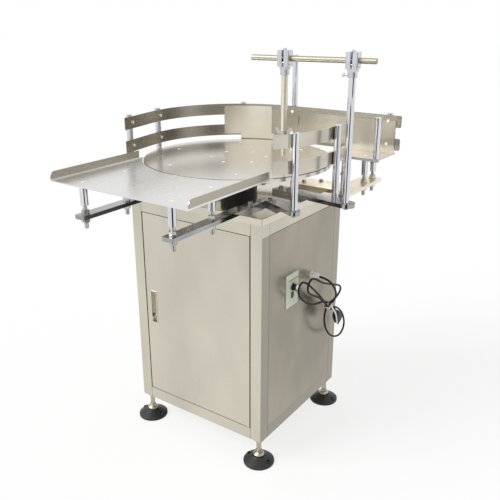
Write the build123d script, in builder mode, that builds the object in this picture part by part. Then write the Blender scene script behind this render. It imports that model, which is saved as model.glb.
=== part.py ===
from build123d import *
import math
import os

# Rotary bottle collator: a steel cabinet on levelling feet drives a 600 mm turntable.
# Bottles are loaded on the front tray, ride clockwise inside the rear guide rails and
# leave over the outfeed plate at the right rear.
# Frame: +X to the control side, -Y to the loading side, +Z up, origin on the floor
# below the turntable axis. Millimetres.

os.makedirs("parts", exist_ok=True)

# Clearances
seat_gap = 0.3       # between faces of pieces that stay clear of each other
run_gap = 0.05       # radial clearance of a shaft in its bore
slip_gap = 0.3       # radial clearance of a bolt in its hole

# Cabinet
cabinet_w = 500.0
cabinet_d = 474.0
cabinet_h = 741.0
leg_gap = 88.0
tube = 40.0
tube_wall = 2.0
top_rail_h = 54.0
skin = 1.5
cap_t = 3.0
cap_lip = 20.0
cap_corner_r = 3.0
cap_edge_r = 1.2
hole_over_cap = 4.0    # the cap's spindle hole is this much smaller in radius than the bearing

cab_top = leg_gap + cabinet_h
frame_top = cab_top - cap_t
opening_low = leg_gap + tube
opening_high = frame_top - top_rail_h
post_x = cabinet_w / 2 - tube / 2
post_y = cabinet_d / 2 - tube / 2
inner_x = cabinet_w / 2 - tube
inner_y = cabinet_d / 2 - tube
corner_places = [(sx * post_x, sy * post_y) for sx in (-1, 1) for sy in (-1, 1)]

# Turntable, tray and outfeed, all at one working height
table_rise = 102.0
table_t = 3.0
disc_r = 300.0
disc_lip = 12.0
disc_gap = 3.0
table_z = cab_top + table_rise
under_z = table_z - table_t

# Support arms lying on the cabinet top
arm_t = 12.0
arm_w = 36.0
arm_top = cab_top + arm_t

# Guide rails
rail_t = 2.0
rail_h = 38.0
rail_low_gap = 13.0
rail_pitch = 73.0
rear_rail_r = disc_r + 14.0
right_rail_r = disc_r + 22.0
outfeed_end = disc_r + 110.0
rail_low_z = table_z + rail_low_gap
rail_high_z = rail_low_z + rail_pitch
screw_zs = (rail_low_z + rail_h / 2, rail_high_z + rail_h / 2)

# Round posts
post_r = 10.0
post_top = cab_top + 231.0
tall_top = cab_top + 397.0

# Cross bar and its clamps
bar_r = 8.0
bar_z = cab_top + 412.0
bar_turn = 8.8
bar_short = 66.0
bar_long = 304.0
clamp_span = 200.0


upright = (Align.CENTER, Align.CENTER, Align.MIN)


def finish(piece, name, *partners):
    """Label a finished piece, with any that touch it in the same node, and write its STEP."""
    if partners:
        piece.part = Compound(children=[each.part for each in (piece, *partners)])
    piece.part.label = name
    export_step(piece.part, "parts/" + name + ".step")


def polar(radius, angle):
    return (radius * math.cos(math.radians(angle)), radius * math.sin(math.radians(angle)))


def along(start, end, distance):
    """The point at a distance from start on the way to end."""
    length = math.dist(start, end)
    return tuple(a + (b - a) * distance / length for a, b in zip(start, end))


# Places of the posts and of the arms that carry them
rear_post_r = rear_rail_r + rail_t + seat_gap + post_r
right_post_r = right_rail_r + rail_t + seat_gap + post_r
tail_angle = 190.0
tail_length = 160.0
tail_turn = tail_angle + 90
tail_start = polar(rear_rail_r + rail_t / 2, tail_angle)

right_front_angle = -26.5
right_mid_y = 27.0
hidden_angle = 122.5
left_angle = 182.7
right_front_post = polar(right_post_r, right_front_angle)
right_mid_post = (right_post_r, right_mid_y)
clamp_post = (disc_r + 84.0, 0.0)
left_post = polar(rear_post_r, left_angle)
hidden_post = polar(rear_post_r, hidden_angle)
rear_tall_post = (8.0, rear_post_r)
tail_post_along = 120.0
tail_out = polar(rail_t / 2 + seat_gap + post_r, tail_angle)
tail_post = tuple(
    a + tail_post_along * b + c for a, b, c in zip(tail_start, polar(1, tail_turn), tail_out)
)
outfeed_front = 206.0
outfeed_rear_post = (disc_r + 66.0, rear_post_r)
outfeed_front_post = (disc_r + 74.0, outfeed_front + 11)

# Loading tray
tray_w = 493.0
tray_front = disc_r + 241.0
tray_flange_h = 24.0
tray_flange_end = math.sqrt((disc_r + disc_gap) ** 2 - (tray_w / 2) ** 2) + 21
tray_arm_x = inner_x - 50
tray_arm_inner = inner_y - 88
tray_arm_outer = tray_front - 15
tray_stud_ys = (38 - tray_front, -45 - disc_r)
tray_bolt_ys = (33 - inner_y, 78 - inner_y)
tray_corner_r = 16.0
tray_fold_r = 2.0
tray_stud_places = [(sx * tray_arm_x, y) for sx in (-1, 1) for y in tray_stud_ys]

# Outfeed plate and its bracket
outfeed_x = disc_r + 88.0
outfeed_back = disc_r + 38.0
outfeed_lip = 8.0
outfeed_split = 200.0
outfeed_lip_start = math.sqrt((disc_r + disc_gap) ** 2 - outfeed_front**2) + 10
bracket_in = 130.0
bracket_out = disc_r + 45.0
bracket_front = inner_y - 85
bracket_back = outfeed_back + 7.0
bracket_foot = 88.0
bracket_leg = 65.0
ear_w = 38.0
ear_l = 30.0
outfeed_stud_places = [(disc_r + 23.0, 251.0), (disc_r + 22.0, disc_r + 18.0)]
bracket_bolts = [(inner_x - 53, inner_y - 47), (inner_x - 9, inner_y - 11)]
stud_places = tray_stud_places + outfeed_stud_places
rail_stud_place = (right_rail_r + rail_t / 2, bracket_front - 19)
rail_stud_nut_z = table_z - 33

# Radial arms: inner end, outer end, width, bolt distances from the inner end
right_front_in = (inner_x - 10) / math.cos(math.radians(right_front_angle)) - 31
arm_ends = {
    "right_front": (polar(right_front_in, right_front_angle), right_front_post, arm_w, (9, 31)),
    "right_mid": ((inner_x - 88, 41.0), (clamp_post[0], 6.0), 50.0, (15, 46)),
    "left": (polar(inner_x - 60, left_angle), left_post, arm_w, (15, 45)),
    "hidden": (polar(inner_y - 62, hidden_angle), hidden_post, arm_w, (15, 50)),
    "rear": ((4.0, inner_y - 77), rear_tall_post, arm_w, (15, 55)),
    "tail": ((21 - inner_x, 29 - inner_y), tail_post, arm_w, (11, 41)),
}
arm_bolt_places = [
    along(inner, outer, step)
    for name, (inner, outer, width, steps) in arm_ends.items()
    for step in steps
    if name != "tail"
]
arm_bolt_places += [(sx * tray_arm_x, y) for sx in (-1, 1) for y in tray_bolt_ys]
arm_bolt_places += bracket_bolts
tail_bolts = [along(arm_ends["tail"][0], arm_ends["tail"][1], step) for step in arm_ends["tail"][3]]
arm_bolt_places.append(tail_bolts[0])
rail_bolt = tail_bolts[1]

bolt_r = 4.0
bolt_hex = 13.0
bolt_head_h = 5.5
nut_h = 6.5
washer_r = 8.0
washer_t = 1.5
stud_r = 6.0
stud_hex = 19.0
stud_nut_h = 10.0
stud_washer_r = 12.0
stud_washer_t = 2.0
stud_below = 30.0
stud_in = 16.0
sleeve_r = 11.0
sleeve_h = 62.0
flush_r = 6.0
flush_shank = 3.0
flush_length = 14.0

# Drive
spindle_r = 15.0
spindle_short = 4.0    # the spindle ends this far below the disc
bearing_r = 31.0
bearing_h = 16.0
housing_r = 60.0
housing_h = 71.0
housing_bolt_r = 46.0
housing_bolt_in = 20.0
housing_bore = 8.0     # between the spindle and the housing, from bearing to bearing
race_w = 5.0
shield_in = 0.8
collar_w = 5.0
collar_h = 3.0
hub_r = 105.0
hub_t = 10.0
hub_boss_r = 36.0
hub_screw_r = 87.0
hub_screw_turn = 33.0
ring_screw_r = disc_r - 65.0
ring_screw_turn = 4.0
ring_half_w = 13.0
ring_t = 8.0
drive_plate_t = 10.0
standoff_h = 86.0
standoff_r = 10.0
standoff_bore = 24.0
coupling_h = 60.0
coupling_r = 25.0
coupling_rise = 5.0    # from the drive plate to the coupling
shaft_gap = 1.0        # between the shaft ends and the coupling's middle
drive_plate_w = 220.0
drive_plate_d = 190.0
drive_bolt_in = 20.0
standoff_places = [(sx * 90.0, sy * 75.0) for sx in (-1, 1) for sy in (-1, 1)]
gear_w = 110.0
gear_d = 96.0
gear_h = 120.0
out_shaft_r = 12.5
shaft_in_gear = 40.0
gear_collar_r = 46.0
gear_cover_r = 38.0
gear_cover_t = 5.0
motor_r = 45.0
motor_l = 110.0
cowl_l = 30.0
fin_count = 20
fin_h = 4.0
fin_t = 2.4
flange_t = 10.0
flange_size = (96.0, 78.0)
terminal_box = (56.0, 44.0, 24.0)
terminal_off = 45.0    # from the gearbox to the middle of the terminal box

housing_top = cab_top + housing_h
hub_low = under_z - hub_t
drive_top = frame_top - standoff_h
drive_low = drive_top - drive_plate_t
gear_low = drive_low - gear_h
motor_z = gear_low + 42.0

# Door
door_gap = 3.0
door_gap_z = 2.0
door_depth = 18.0
door_front = -cabinet_d / 2
door_half = inner_x - door_gap
door_low = opening_low + door_gap_z
door_high = opening_high - door_gap_z
hinge_x = door_half - 7.5
hinge_y = door_front + 5.5
hinge_pin_r = 3.0
latch_x = 30 - door_half
latch_z = 447.0
latch_w = 28.0
latch_l = 116.0
latch_cam_z = latch_z - 38.0
latch_wall = 1.5
latch_depth = 13.0
pull_face_t = 1.2
pull_lap = 2.0
barrel_r = 5.0
barrel_head_r = 8.0
barrel_head_h = 6.0
barrel_slot = (3.0, 16.0, 2.5)
cam_l = 46.0
cam_w = 14.0
cam_t = 3.0
cam_gap = 3.0
hinge_pin_l = 14.0
hinge_pin_in = 6.0
hinge_head_h = 3.0
hinge_head_over = 0.6

# Feet
pad_r = 50.0
pad_h = 24.0
anchor_off = 36.0
anchor_r = 4.5
anchor_boss_r = 9.0
anchor_boss_h = 14.0
stem_r = 8.0
stem_hex = 20.0
stem_hex_h = 9.0
stem_collar_h = 10.0
stem_in = 54.0
insert_h = 14.0
lock_nut_h = 9.0
lock_nut_hex = 24.0

# Controls and mains lead
panel_y = -68.6
panel_z = 557.0
plate_w = 71.0
plate_h = 110.0
plate_t = 2.0
case_w = 54.0
case_h = 92.0
case_l = 76.0
knob_y = -66.0
knob_z = 566.0
knob_r = 10.0
knob_skirt = 1.5
knob_skirt_h = 3.0
knob_h = 12.0
knob_gap = 0.6
knob_shaft_r = 3.0
knob_shaft_in = 11.0
knob_cap_h = 1.4
grip_count = 18
rocker_w = 10.0
rocker_h = 16.0
rocker_tilt = 9.0
trunnion_r = 2.0
trunnion_out = 0.15
bezel_w = rocker_w + 5
bezel_h = rocker_h + 5
bezel_t = 1.5
bezel_wall = 1.5
bezel_in = 14.0
switch_pocket = 22.0
switch_y = -69.0
switch_z = 540.0
gland_y = 38.0
gland_z = 573.0
gland_hex = 22.0
gland_base = 8.0
gland_nose = 30.0
gland_nut_r = 10.0
gland_nut_l = 16.0
gland_thread_r = 8.0
gland_in = 12.0
gland_lock_h = 5.0
cord_r = 3.25
outer_x = cabinet_w / 2


# Cabinet frame: square tubes welded at the corners, hollow and open at the feet
with BuildPart() as cabinet_frame:
    with BuildSketch(Plane.XY.offset(leg_gap)):
        with Locations(*corner_places):
            Rectangle(tube, tube)
    extrude(amount=frame_top - leg_gap)
    for z, height in ((leg_gap, tube), (opening_high, top_rail_h)):
        with BuildSketch(Plane.XY.offset(z)):
            Rectangle(cabinet_w, cabinet_d)
            Rectangle(cabinet_w - 2 * tube, cabinet_d - 2 * tube, mode=Mode.SUBTRACT)
        extrude(amount=height)
    # the bores of the tubes
    with BuildSketch(Plane.XY.offset(leg_gap)):
        with Locations(*corner_places):
            Rectangle(tube - 2 * tube_wall, tube - 2 * tube_wall)
    extrude(amount=frame_top - leg_gap - tube_wall, mode=Mode.SUBTRACT)
    for z, height in ((leg_gap, tube), (opening_high, top_rail_h)):
        with BuildSketch(Plane.XY.offset(z + tube_wall)):
            Rectangle(cabinet_w - 2 * tube_wall, cabinet_d - 2 * tube_wall)
            Rectangle(
                cabinet_w - 2 * tube + 2 * tube_wall,
                cabinet_d - 2 * tube + 2 * tube_wall,
                mode=Mode.SUBTRACT,
            )
        extrude(amount=height - 2 * tube_wall, mode=Mode.SUBTRACT)
    # holes for the door's pivot pins and for the arm screwed to the side rail
    with BuildSketch(Plane.XY.offset(opening_low - tube_wall)):
        with Locations((hinge_x, hinge_y)):
            Circle(hinge_pin_r + run_gap)
    extrude(amount=tube_wall, mode=Mode.SUBTRACT)
    with BuildSketch(Plane.XY.offset(opening_high)):
        with Locations((hinge_x, hinge_y)):
            Circle(hinge_pin_r + run_gap)
    extrude(amount=tube_wall, mode=Mode.SUBTRACT)
    with BuildSketch(Plane.XY.offset(frame_top - tube_wall)):
        with Locations(rail_bolt):
            Circle(bolt_r + run_gap)
    extrude(amount=tube_wall, mode=Mode.SUBTRACT)
finish(cabinet_frame, "cabinet_frame")

# Top plate: folded sheet cap over the frame, carrying the housing and the arms
with BuildPart() as top_plate:
    with BuildSketch(Plane.XY.offset(cab_top - cap_lip)):
        RectangleRounded(
            cabinet_w + 2 * (seat_gap + skin), cabinet_d + 2 * (seat_gap + skin), cap_corner_r
        )
    extrude(amount=cap_lip)
    with BuildSketch(Plane.XY.offset(cab_top - cap_lip)):
        Rectangle(cabinet_w + 2 * seat_gap, cabinet_d + 2 * seat_gap)
    extrude(amount=cap_lip - cap_t, mode=Mode.SUBTRACT)
    fillet(top_plate.faces().sort_by(Axis.Z)[-1].edges(), cap_edge_r)
    with BuildSketch(Plane.XY.offset(cab_top - cap_t)):
        Circle(bearing_r - hole_over_cap)
        with PolarLocations(housing_bolt_r, 4, start_angle=45):
            Circle(bolt_r + run_gap)
        with Locations(*arm_bolt_places, rail_bolt):
            Circle(bolt_r + slip_gap)
    extrude(amount=cap_t, mode=Mode.SUBTRACT)
finish(top_plate, "top_plate")

# Side, rear and floor sheets
panel_h = opening_high - opening_low - 2 * seat_gap
side_w = 2 * (inner_y - seat_gap)
rear_w = 2 * (inner_x - seat_gap)
with BuildPart() as left_panel:
    with Locations((-outer_x + skin / 2, 0, opening_low + seat_gap + panel_h / 2)):
        Box(skin, side_w, panel_h)
finish(left_panel, "left_panel")

with BuildPart() as right_panel:
    with Locations((outer_x - skin / 2, 0, opening_low + seat_gap + panel_h / 2)):
        Box(skin, side_w, panel_h)
    with BuildSketch(Plane.YZ.offset(outer_x - skin)):
        with Locations((panel_y, panel_z)):
            Rectangle(case_w + 2 * seat_gap, case_h + 2 * seat_gap)
        with Locations((gland_y, gland_z)):
            Circle(gland_thread_r + seat_gap)
    extrude(amount=skin, mode=Mode.SUBTRACT)
finish(right_panel, "right_panel")

with BuildPart() as rear_panel:
    with Locations((0, cabinet_d / 2 - skin / 2, opening_low + seat_gap + panel_h / 2)):
        Box(rear_w, skin, panel_h)
finish(rear_panel, "rear_panel")

floor_lap = 14.0
with BuildPart() as floor_plate:
    with BuildSketch(Plane.XY.offset(opening_low)):
        Rectangle(2 * (inner_x + floor_lap), 2 * (inner_y + floor_lap))
        with Locations(*corner_places):
            Rectangle(tube + 2 * seat_gap, tube + 2 * seat_gap, mode=Mode.SUBTRACT)
    extrude(amount=skin)
finish(floor_plate, "floor_plate")

# Front door: a pan of folded sheet on two pivot pins at its right edge
dish_w = latch_w - 2 * pull_lap
dish_l = latch_l - 2 * pull_lap
with BuildPart() as front_door:
    with BuildSketch(Plane.XY.offset(door_low)):
        with Locations((0, door_front + door_depth / 2)):
            Rectangle(2 * door_half, door_depth)
    extrude(amount=door_high - door_low)
    with BuildSketch(Plane.XY.offset(door_low + skin)):
        with Locations((0, door_front + skin + door_depth / 2)):
            Rectangle(2 * (door_half - skin), door_depth)
    extrude(amount=door_high - door_low - 2 * skin, mode=Mode.SUBTRACT)
    with BuildSketch(Plane.XZ.offset(-door_front)):
        with Locations((latch_x, latch_z)):
            Rectangle(dish_w + 2 * seat_gap, dish_l + 2 * seat_gap)
    extrude(amount=-skin, mode=Mode.SUBTRACT)
    with BuildSketch(Plane.XY.offset(door_low)):
        with Locations((hinge_x, hinge_y)):
            Circle(hinge_pin_r + run_gap)
    extrude(amount=door_high - door_low, mode=Mode.SUBTRACT)
finish(front_door, "front_door")

# Pivot pins: the lower one has a collar that carries the door, the upper one a head
with BuildPart() as door_hinge_pins:
    with Locations((hinge_x, hinge_y, opening_low - hinge_pin_in)):
        Cylinder(hinge_pin_r, hinge_pin_l, align=upright)
    with Locations((hinge_x, hinge_y, opening_low)):
        Cylinder(2 * hinge_pin_r, door_gap_z - seat_gap, align=upright)
    with Locations((hinge_x, hinge_y, door_high - skin - seat_gap - hinge_head_h)):
        Cylinder(hinge_pin_r, hinge_pin_l, align=upright)
        Cylinder(hinge_pin_r + hinge_head_over, hinge_head_h, align=upright)
finish(door_hinge_pins, "door_hinge_pins")

# Flush pull: a pressed dish in the door with the latch barrel at its lower end
with BuildPart() as door_pull:
    with BuildSketch(Plane.XZ.offset(-door_front)):
        with Locations((latch_x, latch_z)):
            RectangleRounded(latch_w, latch_l, 3)
    extrude(amount=pull_face_t)
    with BuildSketch(Plane.XZ.offset(-door_front)):
        with Locations((latch_x, latch_z)):
            Rectangle(dish_w, dish_l)
    extrude(amount=-latch_depth)
    with BuildSketch(Plane.XZ.offset(-door_front + pull_face_t)):
        with Locations((latch_x, latch_z)):
            RectangleRounded(dish_w - 2 * latch_wall, dish_l - 2 * latch_wall, 2)
    extrude(amount=-(latch_depth + pull_face_t - latch_wall), mode=Mode.SUBTRACT)
    with BuildSketch(Plane.XZ.offset(-door_front - latch_depth)):
        with Locations((latch_x, latch_cam_z)):
            Circle(barrel_r + run_gap)
    extrude(amount=latch_wall, mode=Mode.SUBTRACT)
finish(door_pull, "door_pull")

# Quarter-turn latch, drawn unlocked: turned to the left, its cam lies behind the corner post
cam_y = -inner_y + cam_gap
barrel_seat = -door_front - latch_depth + latch_wall + seat_gap
slot_w, slot_l, slot_depth = barrel_slot
with BuildPart() as latch_barrel:
    with BuildSketch(Plane.XZ.offset(barrel_seat)):
        with Locations((latch_x, latch_cam_z)):
            Circle(barrel_head_r)
    extrude(amount=barrel_head_h)
    with BuildSketch(Plane.XZ.offset(barrel_seat + barrel_head_h)):
        with Locations((latch_x, latch_cam_z)):
            Rectangle(slot_w, slot_l)
    extrude(amount=-slot_depth, mode=Mode.SUBTRACT)
    with BuildSketch(Plane.XZ.offset(-cam_y - cam_t)):
        with Locations((latch_x, latch_cam_z)):
            Circle(barrel_r)
    extrude(amount=barrel_seat + cam_y + cam_t)
    with BuildSketch(Plane.XZ.offset(-cam_y - cam_t)):
        with Locations((latch_x, latch_cam_z)):
            Circle(barrel_head_r)
        with Locations((latch_x, latch_cam_z - cam_l / 2)):
            Rectangle(cam_w, cam_l)
    extrude(amount=cam_t)
finish(latch_barrel, "latch_barrel")

# Levelling feet: each pad and stem moves as one, the insert and lock nut stay put
foot_names = ("rear_left", "front_left", "rear_right", "front_right")
foot_places = dict(zip(foot_names, [corner_places[i] for i in (1, 0, 3, 2)]))
for name, (x, y) in foot_places.items():
    with BuildPart() as foot_pad:
        with BuildSketch(Plane.YZ.offset(x)):
            with BuildLine():
                Polyline(
                    (y, 0),
                    (y + pad_r, 0),
                    (y + pad_r, 6),
                    (y + pad_r - 5, 9),
                    (y + 24, pad_h - 3),
                    (y + 20, pad_h),
                    (y, pad_h),
                    (y, 0),
                )
            make_face()
        revolve(axis=Axis((x, y, 0), (0, 0, 1)))
        with BuildSketch(Plane.XY):
            with Locations((x - anchor_off, y), (x + anchor_off, y)):
                Circle(anchor_boss_r)
        extrude(amount=anchor_boss_h)
        with BuildSketch(Plane.XY):
            with Locations((x - anchor_off, y), (x + anchor_off, y)):
                Circle(anchor_r)
        extrude(amount=pad_h, mode=Mode.SUBTRACT)

    with BuildPart() as foot_stem:
        with BuildSketch(Plane.YZ.offset(x)):
            with BuildLine():
                Polyline(
                    (y, pad_h),
                    (y + 15, pad_h),
                    (y + 18, pad_h + 3),
                    (y + 18, pad_h + 6),
                    (y + 13, pad_h + stem_collar_h),
                    (y, pad_h + stem_collar_h),
                    (y, pad_h),
                )
            make_face()
        revolve(axis=Axis((x, y, 0), (0, 0, 1)))
        with BuildSketch(Plane.XY.offset(pad_h + stem_collar_h)):
            with Locations((x, y)):
                RegularPolygon(stem_hex / 2, 6, major_radius=False)
        extrude(amount=stem_hex_h)
        with BuildSketch(Plane.XY.offset(pad_h + stem_collar_h)):
            with Locations((x, y)):
                Circle(stem_r)
        extrude(amount=leg_gap + stem_in - pad_h - stem_collar_h)
    finish(foot_pad, "levelling_foot_" + name, foot_stem)

with BuildPart() as foot_lock_nuts:
    with BuildSketch(Plane.XY.offset(leg_gap - lock_nut_h)):
        with Locations(*corner_places):
            RegularPolygon(lock_nut_hex / 2, 6, major_radius=False)
            Circle(stem_r + run_gap, mode=Mode.SUBTRACT)
    extrude(amount=lock_nut_h)

with BuildPart() as foot_inserts:
    insert_w = tube - 2 * tube_wall - 2 * run_gap
    with BuildSketch(Plane.XY.offset(leg_gap)):
        with Locations(*corner_places):
            RectangleRounded(insert_w, insert_w, 2)
            Circle(stem_r + run_gap, mode=Mode.SUBTRACT)
    extrude(amount=insert_h)
finish(foot_inserts, "foot_inserts_and_nuts", foot_lock_nuts)

# Bearing housing on the cabinet top, with a sealed bearing at each end
with BuildPart() as bearing_housing:
    with BuildSketch(Plane.XY.offset(cab_top)):
        Circle(housing_r)
    extrude(amount=housing_h)
    fillet(bearing_housing.edges().sort_by(Axis.Z)[-1], 3)
    with BuildSketch(Plane.XY.offset(cab_top)):
        Circle(spindle_r + housing_bore)
    extrude(amount=housing_h, mode=Mode.SUBTRACT)
    for z in (cab_top, housing_top - bearing_h):
        with BuildSketch(Plane.XY.offset(z)):
            Circle(bearing_r + run_gap)
        extrude(amount=bearing_h, mode=Mode.SUBTRACT)
    with BuildSketch(Plane.XY.offset(cab_top)):
        with PolarLocations(housing_bolt_r, 4, start_angle=45):
            Circle(bolt_r + run_gap)
    extrude(amount=housing_bolt_in + 5, mode=Mode.SUBTRACT)
finish(bearing_housing, "bearing_housing")

with BuildPart() as housing_bolts:
    with PolarLocations(housing_bolt_r, 4, start_angle=45):
        with Locations((0, 0, frame_top - bolt_head_h)):
            Cylinder(bolt_r, bolt_head_h + cap_t + housing_bolt_in, align=upright)
    with BuildSketch(Plane.XY.offset(frame_top - bolt_head_h)):
        with PolarLocations(housing_bolt_r, 4, start_angle=45):
            RegularPolygon(bolt_hex / 2, 6, major_radius=False)
    extrude(amount=bolt_head_h)

with BuildPart() as spindle_bearings:
    for z in (cab_top, housing_top - bearing_h):
        with BuildSketch(Plane.XY.offset(z)):
            Circle(bearing_r)
            Circle(spindle_r + run_gap, mode=Mode.SUBTRACT)
        extrude(amount=bearing_h)
        with BuildSketch(Plane.XY.offset(z + bearing_h)):
            Circle(bearing_r - race_w)
            Circle(spindle_r + race_w, mode=Mode.SUBTRACT)
        extrude(amount=-shield_in, mode=Mode.SUBTRACT)
finish(spindle_bearings, "spindle_bearings")

# Spindle: turned shaft whose collar rests over the upper bearing
coupling_low = drive_top + coupling_rise
joint_z = coupling_low + coupling_h / 2
with BuildPart() as spindle:
    with BuildSketch(Plane.XY.offset(joint_z + shaft_gap)):
        Circle(spindle_r)
    extrude(amount=under_z - spindle_short - joint_z - shaft_gap)
    with BuildSketch(Plane.XY.offset(housing_top + seat_gap)):
        Circle(spindle_r + collar_w)
    extrude(amount=collar_h)
    chamfer(spindle.edges().group_by(Axis.Z)[0], 1.5)
finish(spindle, "spindle")

with BuildPart() as hub_flange:
    with BuildSketch(Plane.XY.offset(hub_low)):
        Circle(hub_r)
    extrude(amount=hub_t)
    with BuildSketch(Plane.XY.offset(housing_top + seat_gap + collar_h)):
        Circle(hub_boss_r)
    extrude(amount=hub_low - housing_top - seat_gap - collar_h)
    with BuildSketch(Plane.XY.offset(housing_top + seat_gap + collar_h)):
        Circle(spindle_r + run_gap)
    extrude(amount=under_z - housing_top, mode=Mode.SUBTRACT)
    with BuildSketch(Plane.XY.offset(hub_low)):
        with PolarLocations(hub_screw_r, 6, start_angle=hub_screw_turn):
            Circle(flush_shank + run_gap)
    extrude(amount=hub_t, mode=Mode.SUBTRACT)
finish(hub_flange, "hub_flange")

# Turntable: a spun disc with a turned-down rim, stiffened by a ring
with BuildPart() as turntable_disc:
    with BuildSketch(Plane.XY.offset(table_z - disc_lip)):
        Circle(disc_r)
    extrude(amount=disc_lip)
    fillet(turntable_disc.edges().sort_by(Axis.Z)[-1], 1.5)
    with BuildSketch(Plane.XY.offset(table_z - disc_lip)):
        Circle(disc_r - 2)
    extrude(amount=disc_lip - table_t, mode=Mode.SUBTRACT)
    with Locations(Plane.XY.offset(table_z)):
        with PolarLocations(hub_screw_r, 6, start_angle=hub_screw_turn):
            CounterSinkHole(flush_shank + slip_gap, flush_r + slip_gap, depth=table_t)
        with PolarLocations(ring_screw_r, 6, start_angle=ring_screw_turn):
            CounterSinkHole(flush_shank + slip_gap, flush_r + slip_gap, depth=table_t)
finish(turntable_disc, "turntable_disc")

with BuildPart() as disc_stiffener_ring:
    with BuildSketch(Plane.XY.offset(under_z - ring_t)):
        Circle(ring_screw_r + ring_half_w)
        Circle(ring_screw_r - ring_half_w, mode=Mode.SUBTRACT)
        with PolarLocations(ring_screw_r, 6, start_angle=ring_screw_turn):
            Circle(flush_shank + run_gap, mode=Mode.SUBTRACT)
    extrude(amount=ring_t)
finish(disc_stiffener_ring, "disc_stiffener_ring")


def flush_screws(places, length):
    """Countersunk screws whose heads lie level with the working height."""
    with BuildPart() as screws:
        with BuildSketch(Plane.XY.offset(table_z)):
            with Locations(*places):
                Circle(flush_r)
        extrude(amount=-(flush_r - flush_shank), taper=45)
        with BuildSketch(Plane.XY.offset(table_z - flush_r + flush_shank)):
            with Locations(*places):
                Circle(flush_shank)
        extrude(amount=-(length - flush_r + flush_shank))
    return screws


hub_places = [polar(hub_screw_r, hub_screw_turn + 60 * i) for i in range(6)]
ring_places = [polar(ring_screw_r, ring_screw_turn + 60 * i) for i in range(6)]
disc_screws = flush_screws(hub_places + ring_places, table_t + ring_t - 1)
finish(disc_screws, "disc_screws")

# Drive below the top plate: standoffs, plate, coupling, worm gearbox and motor
with BuildPart() as drive_standoffs:
    with BuildSketch(Plane.XY.offset(drive_top)):
        with Locations(*standoff_places):
            Circle(standoff_r)
    extrude(amount=standoff_h)
    with BuildSketch(Plane.XY.offset(drive_top)):
        with Locations(*standoff_places):
            Circle(bolt_r + run_gap)
    extrude(amount=standoff_bore, mode=Mode.SUBTRACT)
finish(drive_standoffs, "drive_standoffs")

with BuildPart() as drive_plate:
    with BuildSketch(Plane.XY.offset(drive_low)):
        RectangleRounded(drive_plate_w, drive_plate_d, 12)
        Circle(hub_boss_r - 8, mode=Mode.SUBTRACT)
        with Locations(*standoff_places):
            Circle(bolt_r + slip_gap, mode=Mode.SUBTRACT)
    extrude(amount=drive_plate_t)
finish(drive_plate, "drive_plate")

with BuildPart() as drive_bolts:
    with BuildSketch(Plane.XY.offset(drive_low - bolt_head_h)):
        with Locations(*standoff_places):
            RegularPolygon(bolt_hex / 2, 6, major_radius=False)
    extrude(amount=bolt_head_h)
    with BuildSketch(Plane.XY.offset(drive_low)):
        with Locations(*standoff_places):
            Circle(bolt_r)
    extrude(amount=drive_plate_t + drive_bolt_in)
finish(drive_bolts, "drive_bolts", housing_bolts)

with BuildPart() as shaft_coupling:
    with BuildSketch(Plane.XY.offset(coupling_low)):
        Circle(coupling_r)
    extrude(amount=coupling_h)
    chamfer(shaft_coupling.edges().filter_by(GeomType.CIRCLE), 1.5)
    with BuildSketch(Plane.XY.offset(coupling_low)):
        Circle(out_shaft_r + run_gap)
    extrude(amount=coupling_h / 2, mode=Mode.SUBTRACT)
    with BuildSketch(Plane.XY.offset(joint_z)):
        Circle(spindle_r + run_gap)
    extrude(amount=coupling_h / 2, mode=Mode.SUBTRACT)
finish(shaft_coupling, "shaft_coupling")

shaft_low = drive_low - shaft_in_gear
with BuildPart() as output_shaft:
    with BuildSketch(Plane.XY.offset(shaft_low)):
        Circle(out_shaft_r)
    extrude(amount=joint_z - shaft_gap - shaft_low)
    chamfer(output_shaft.edges().filter_by(GeomType.CIRCLE), 1)
finish(output_shaft, "output_shaft")

with BuildPart() as gearbox_case:
    with Locations((0, 0, gear_low)):
        Box(gear_w, gear_d, gear_h, align=upright)
    fillet(gearbox_case.edges().filter_by(Axis.Z), 16)
    fillet(gearbox_case.faces().sort_by(Axis.Z)[0].edges(), 6)
    with BuildSketch(Plane.XY.offset(drive_low)):
        Circle(gear_collar_r)
    extrude(amount=-8)
    with BuildSketch(Plane.XZ.offset(gear_d / 2)):
        with Locations((0, gear_low + 62)):
            Circle(gear_cover_r)
    extrude(amount=gear_cover_t)
    with BuildSketch(Plane.XY.offset(drive_low)):
        Circle(out_shaft_r + run_gap)
    extrude(amount=-shaft_in_gear - 1, mode=Mode.SUBTRACT)
finish(gearbox_case, "gearbox_case")

with BuildPart() as motor_body:
    with BuildSketch(Plane.YZ.offset(-gear_w / 2)):
        with Locations((0, motor_z)):
            RectangleRounded(*flange_size, 10)
    extrude(amount=-flange_t)
    with BuildSketch(Plane.YZ.offset(-gear_w / 2 - flange_t)):
        with Locations((0, motor_z)):
            Circle(motor_r - fin_h)
            with PolarLocations(motor_r - fin_h - 1, fin_count):
                Rectangle(2 * fin_h + 1, fin_t)
    extrude(amount=-(motor_l - flange_t))
    with Locations((-gear_w / 2 - terminal_off, 0, motor_z + motor_r - fin_h - 2)):
        Box(*terminal_box, align=upright)

with BuildPart() as motor_fan_cowl:
    with BuildSketch(Plane.YZ.offset(-gear_w / 2 - motor_l)):
        with Locations((0, motor_z)):
            Circle(motor_r + 1)
    extrude(amount=-cowl_l)
    fillet(motor_fan_cowl.edges().filter_by(GeomType.CIRCLE).sort_by(Axis.X)[0], 5)
    with BuildSketch(Plane.YZ.offset(-gear_w / 2 - motor_l - cowl_l)):
        with Locations((0, motor_z)):
            with PolarLocations(22, 8):
                SlotOverall(20, 4, rotation=0)
    extrude(amount=6, mode=Mode.SUBTRACT)
finish(motor_body, "drive_motor", motor_fan_cowl)

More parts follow.
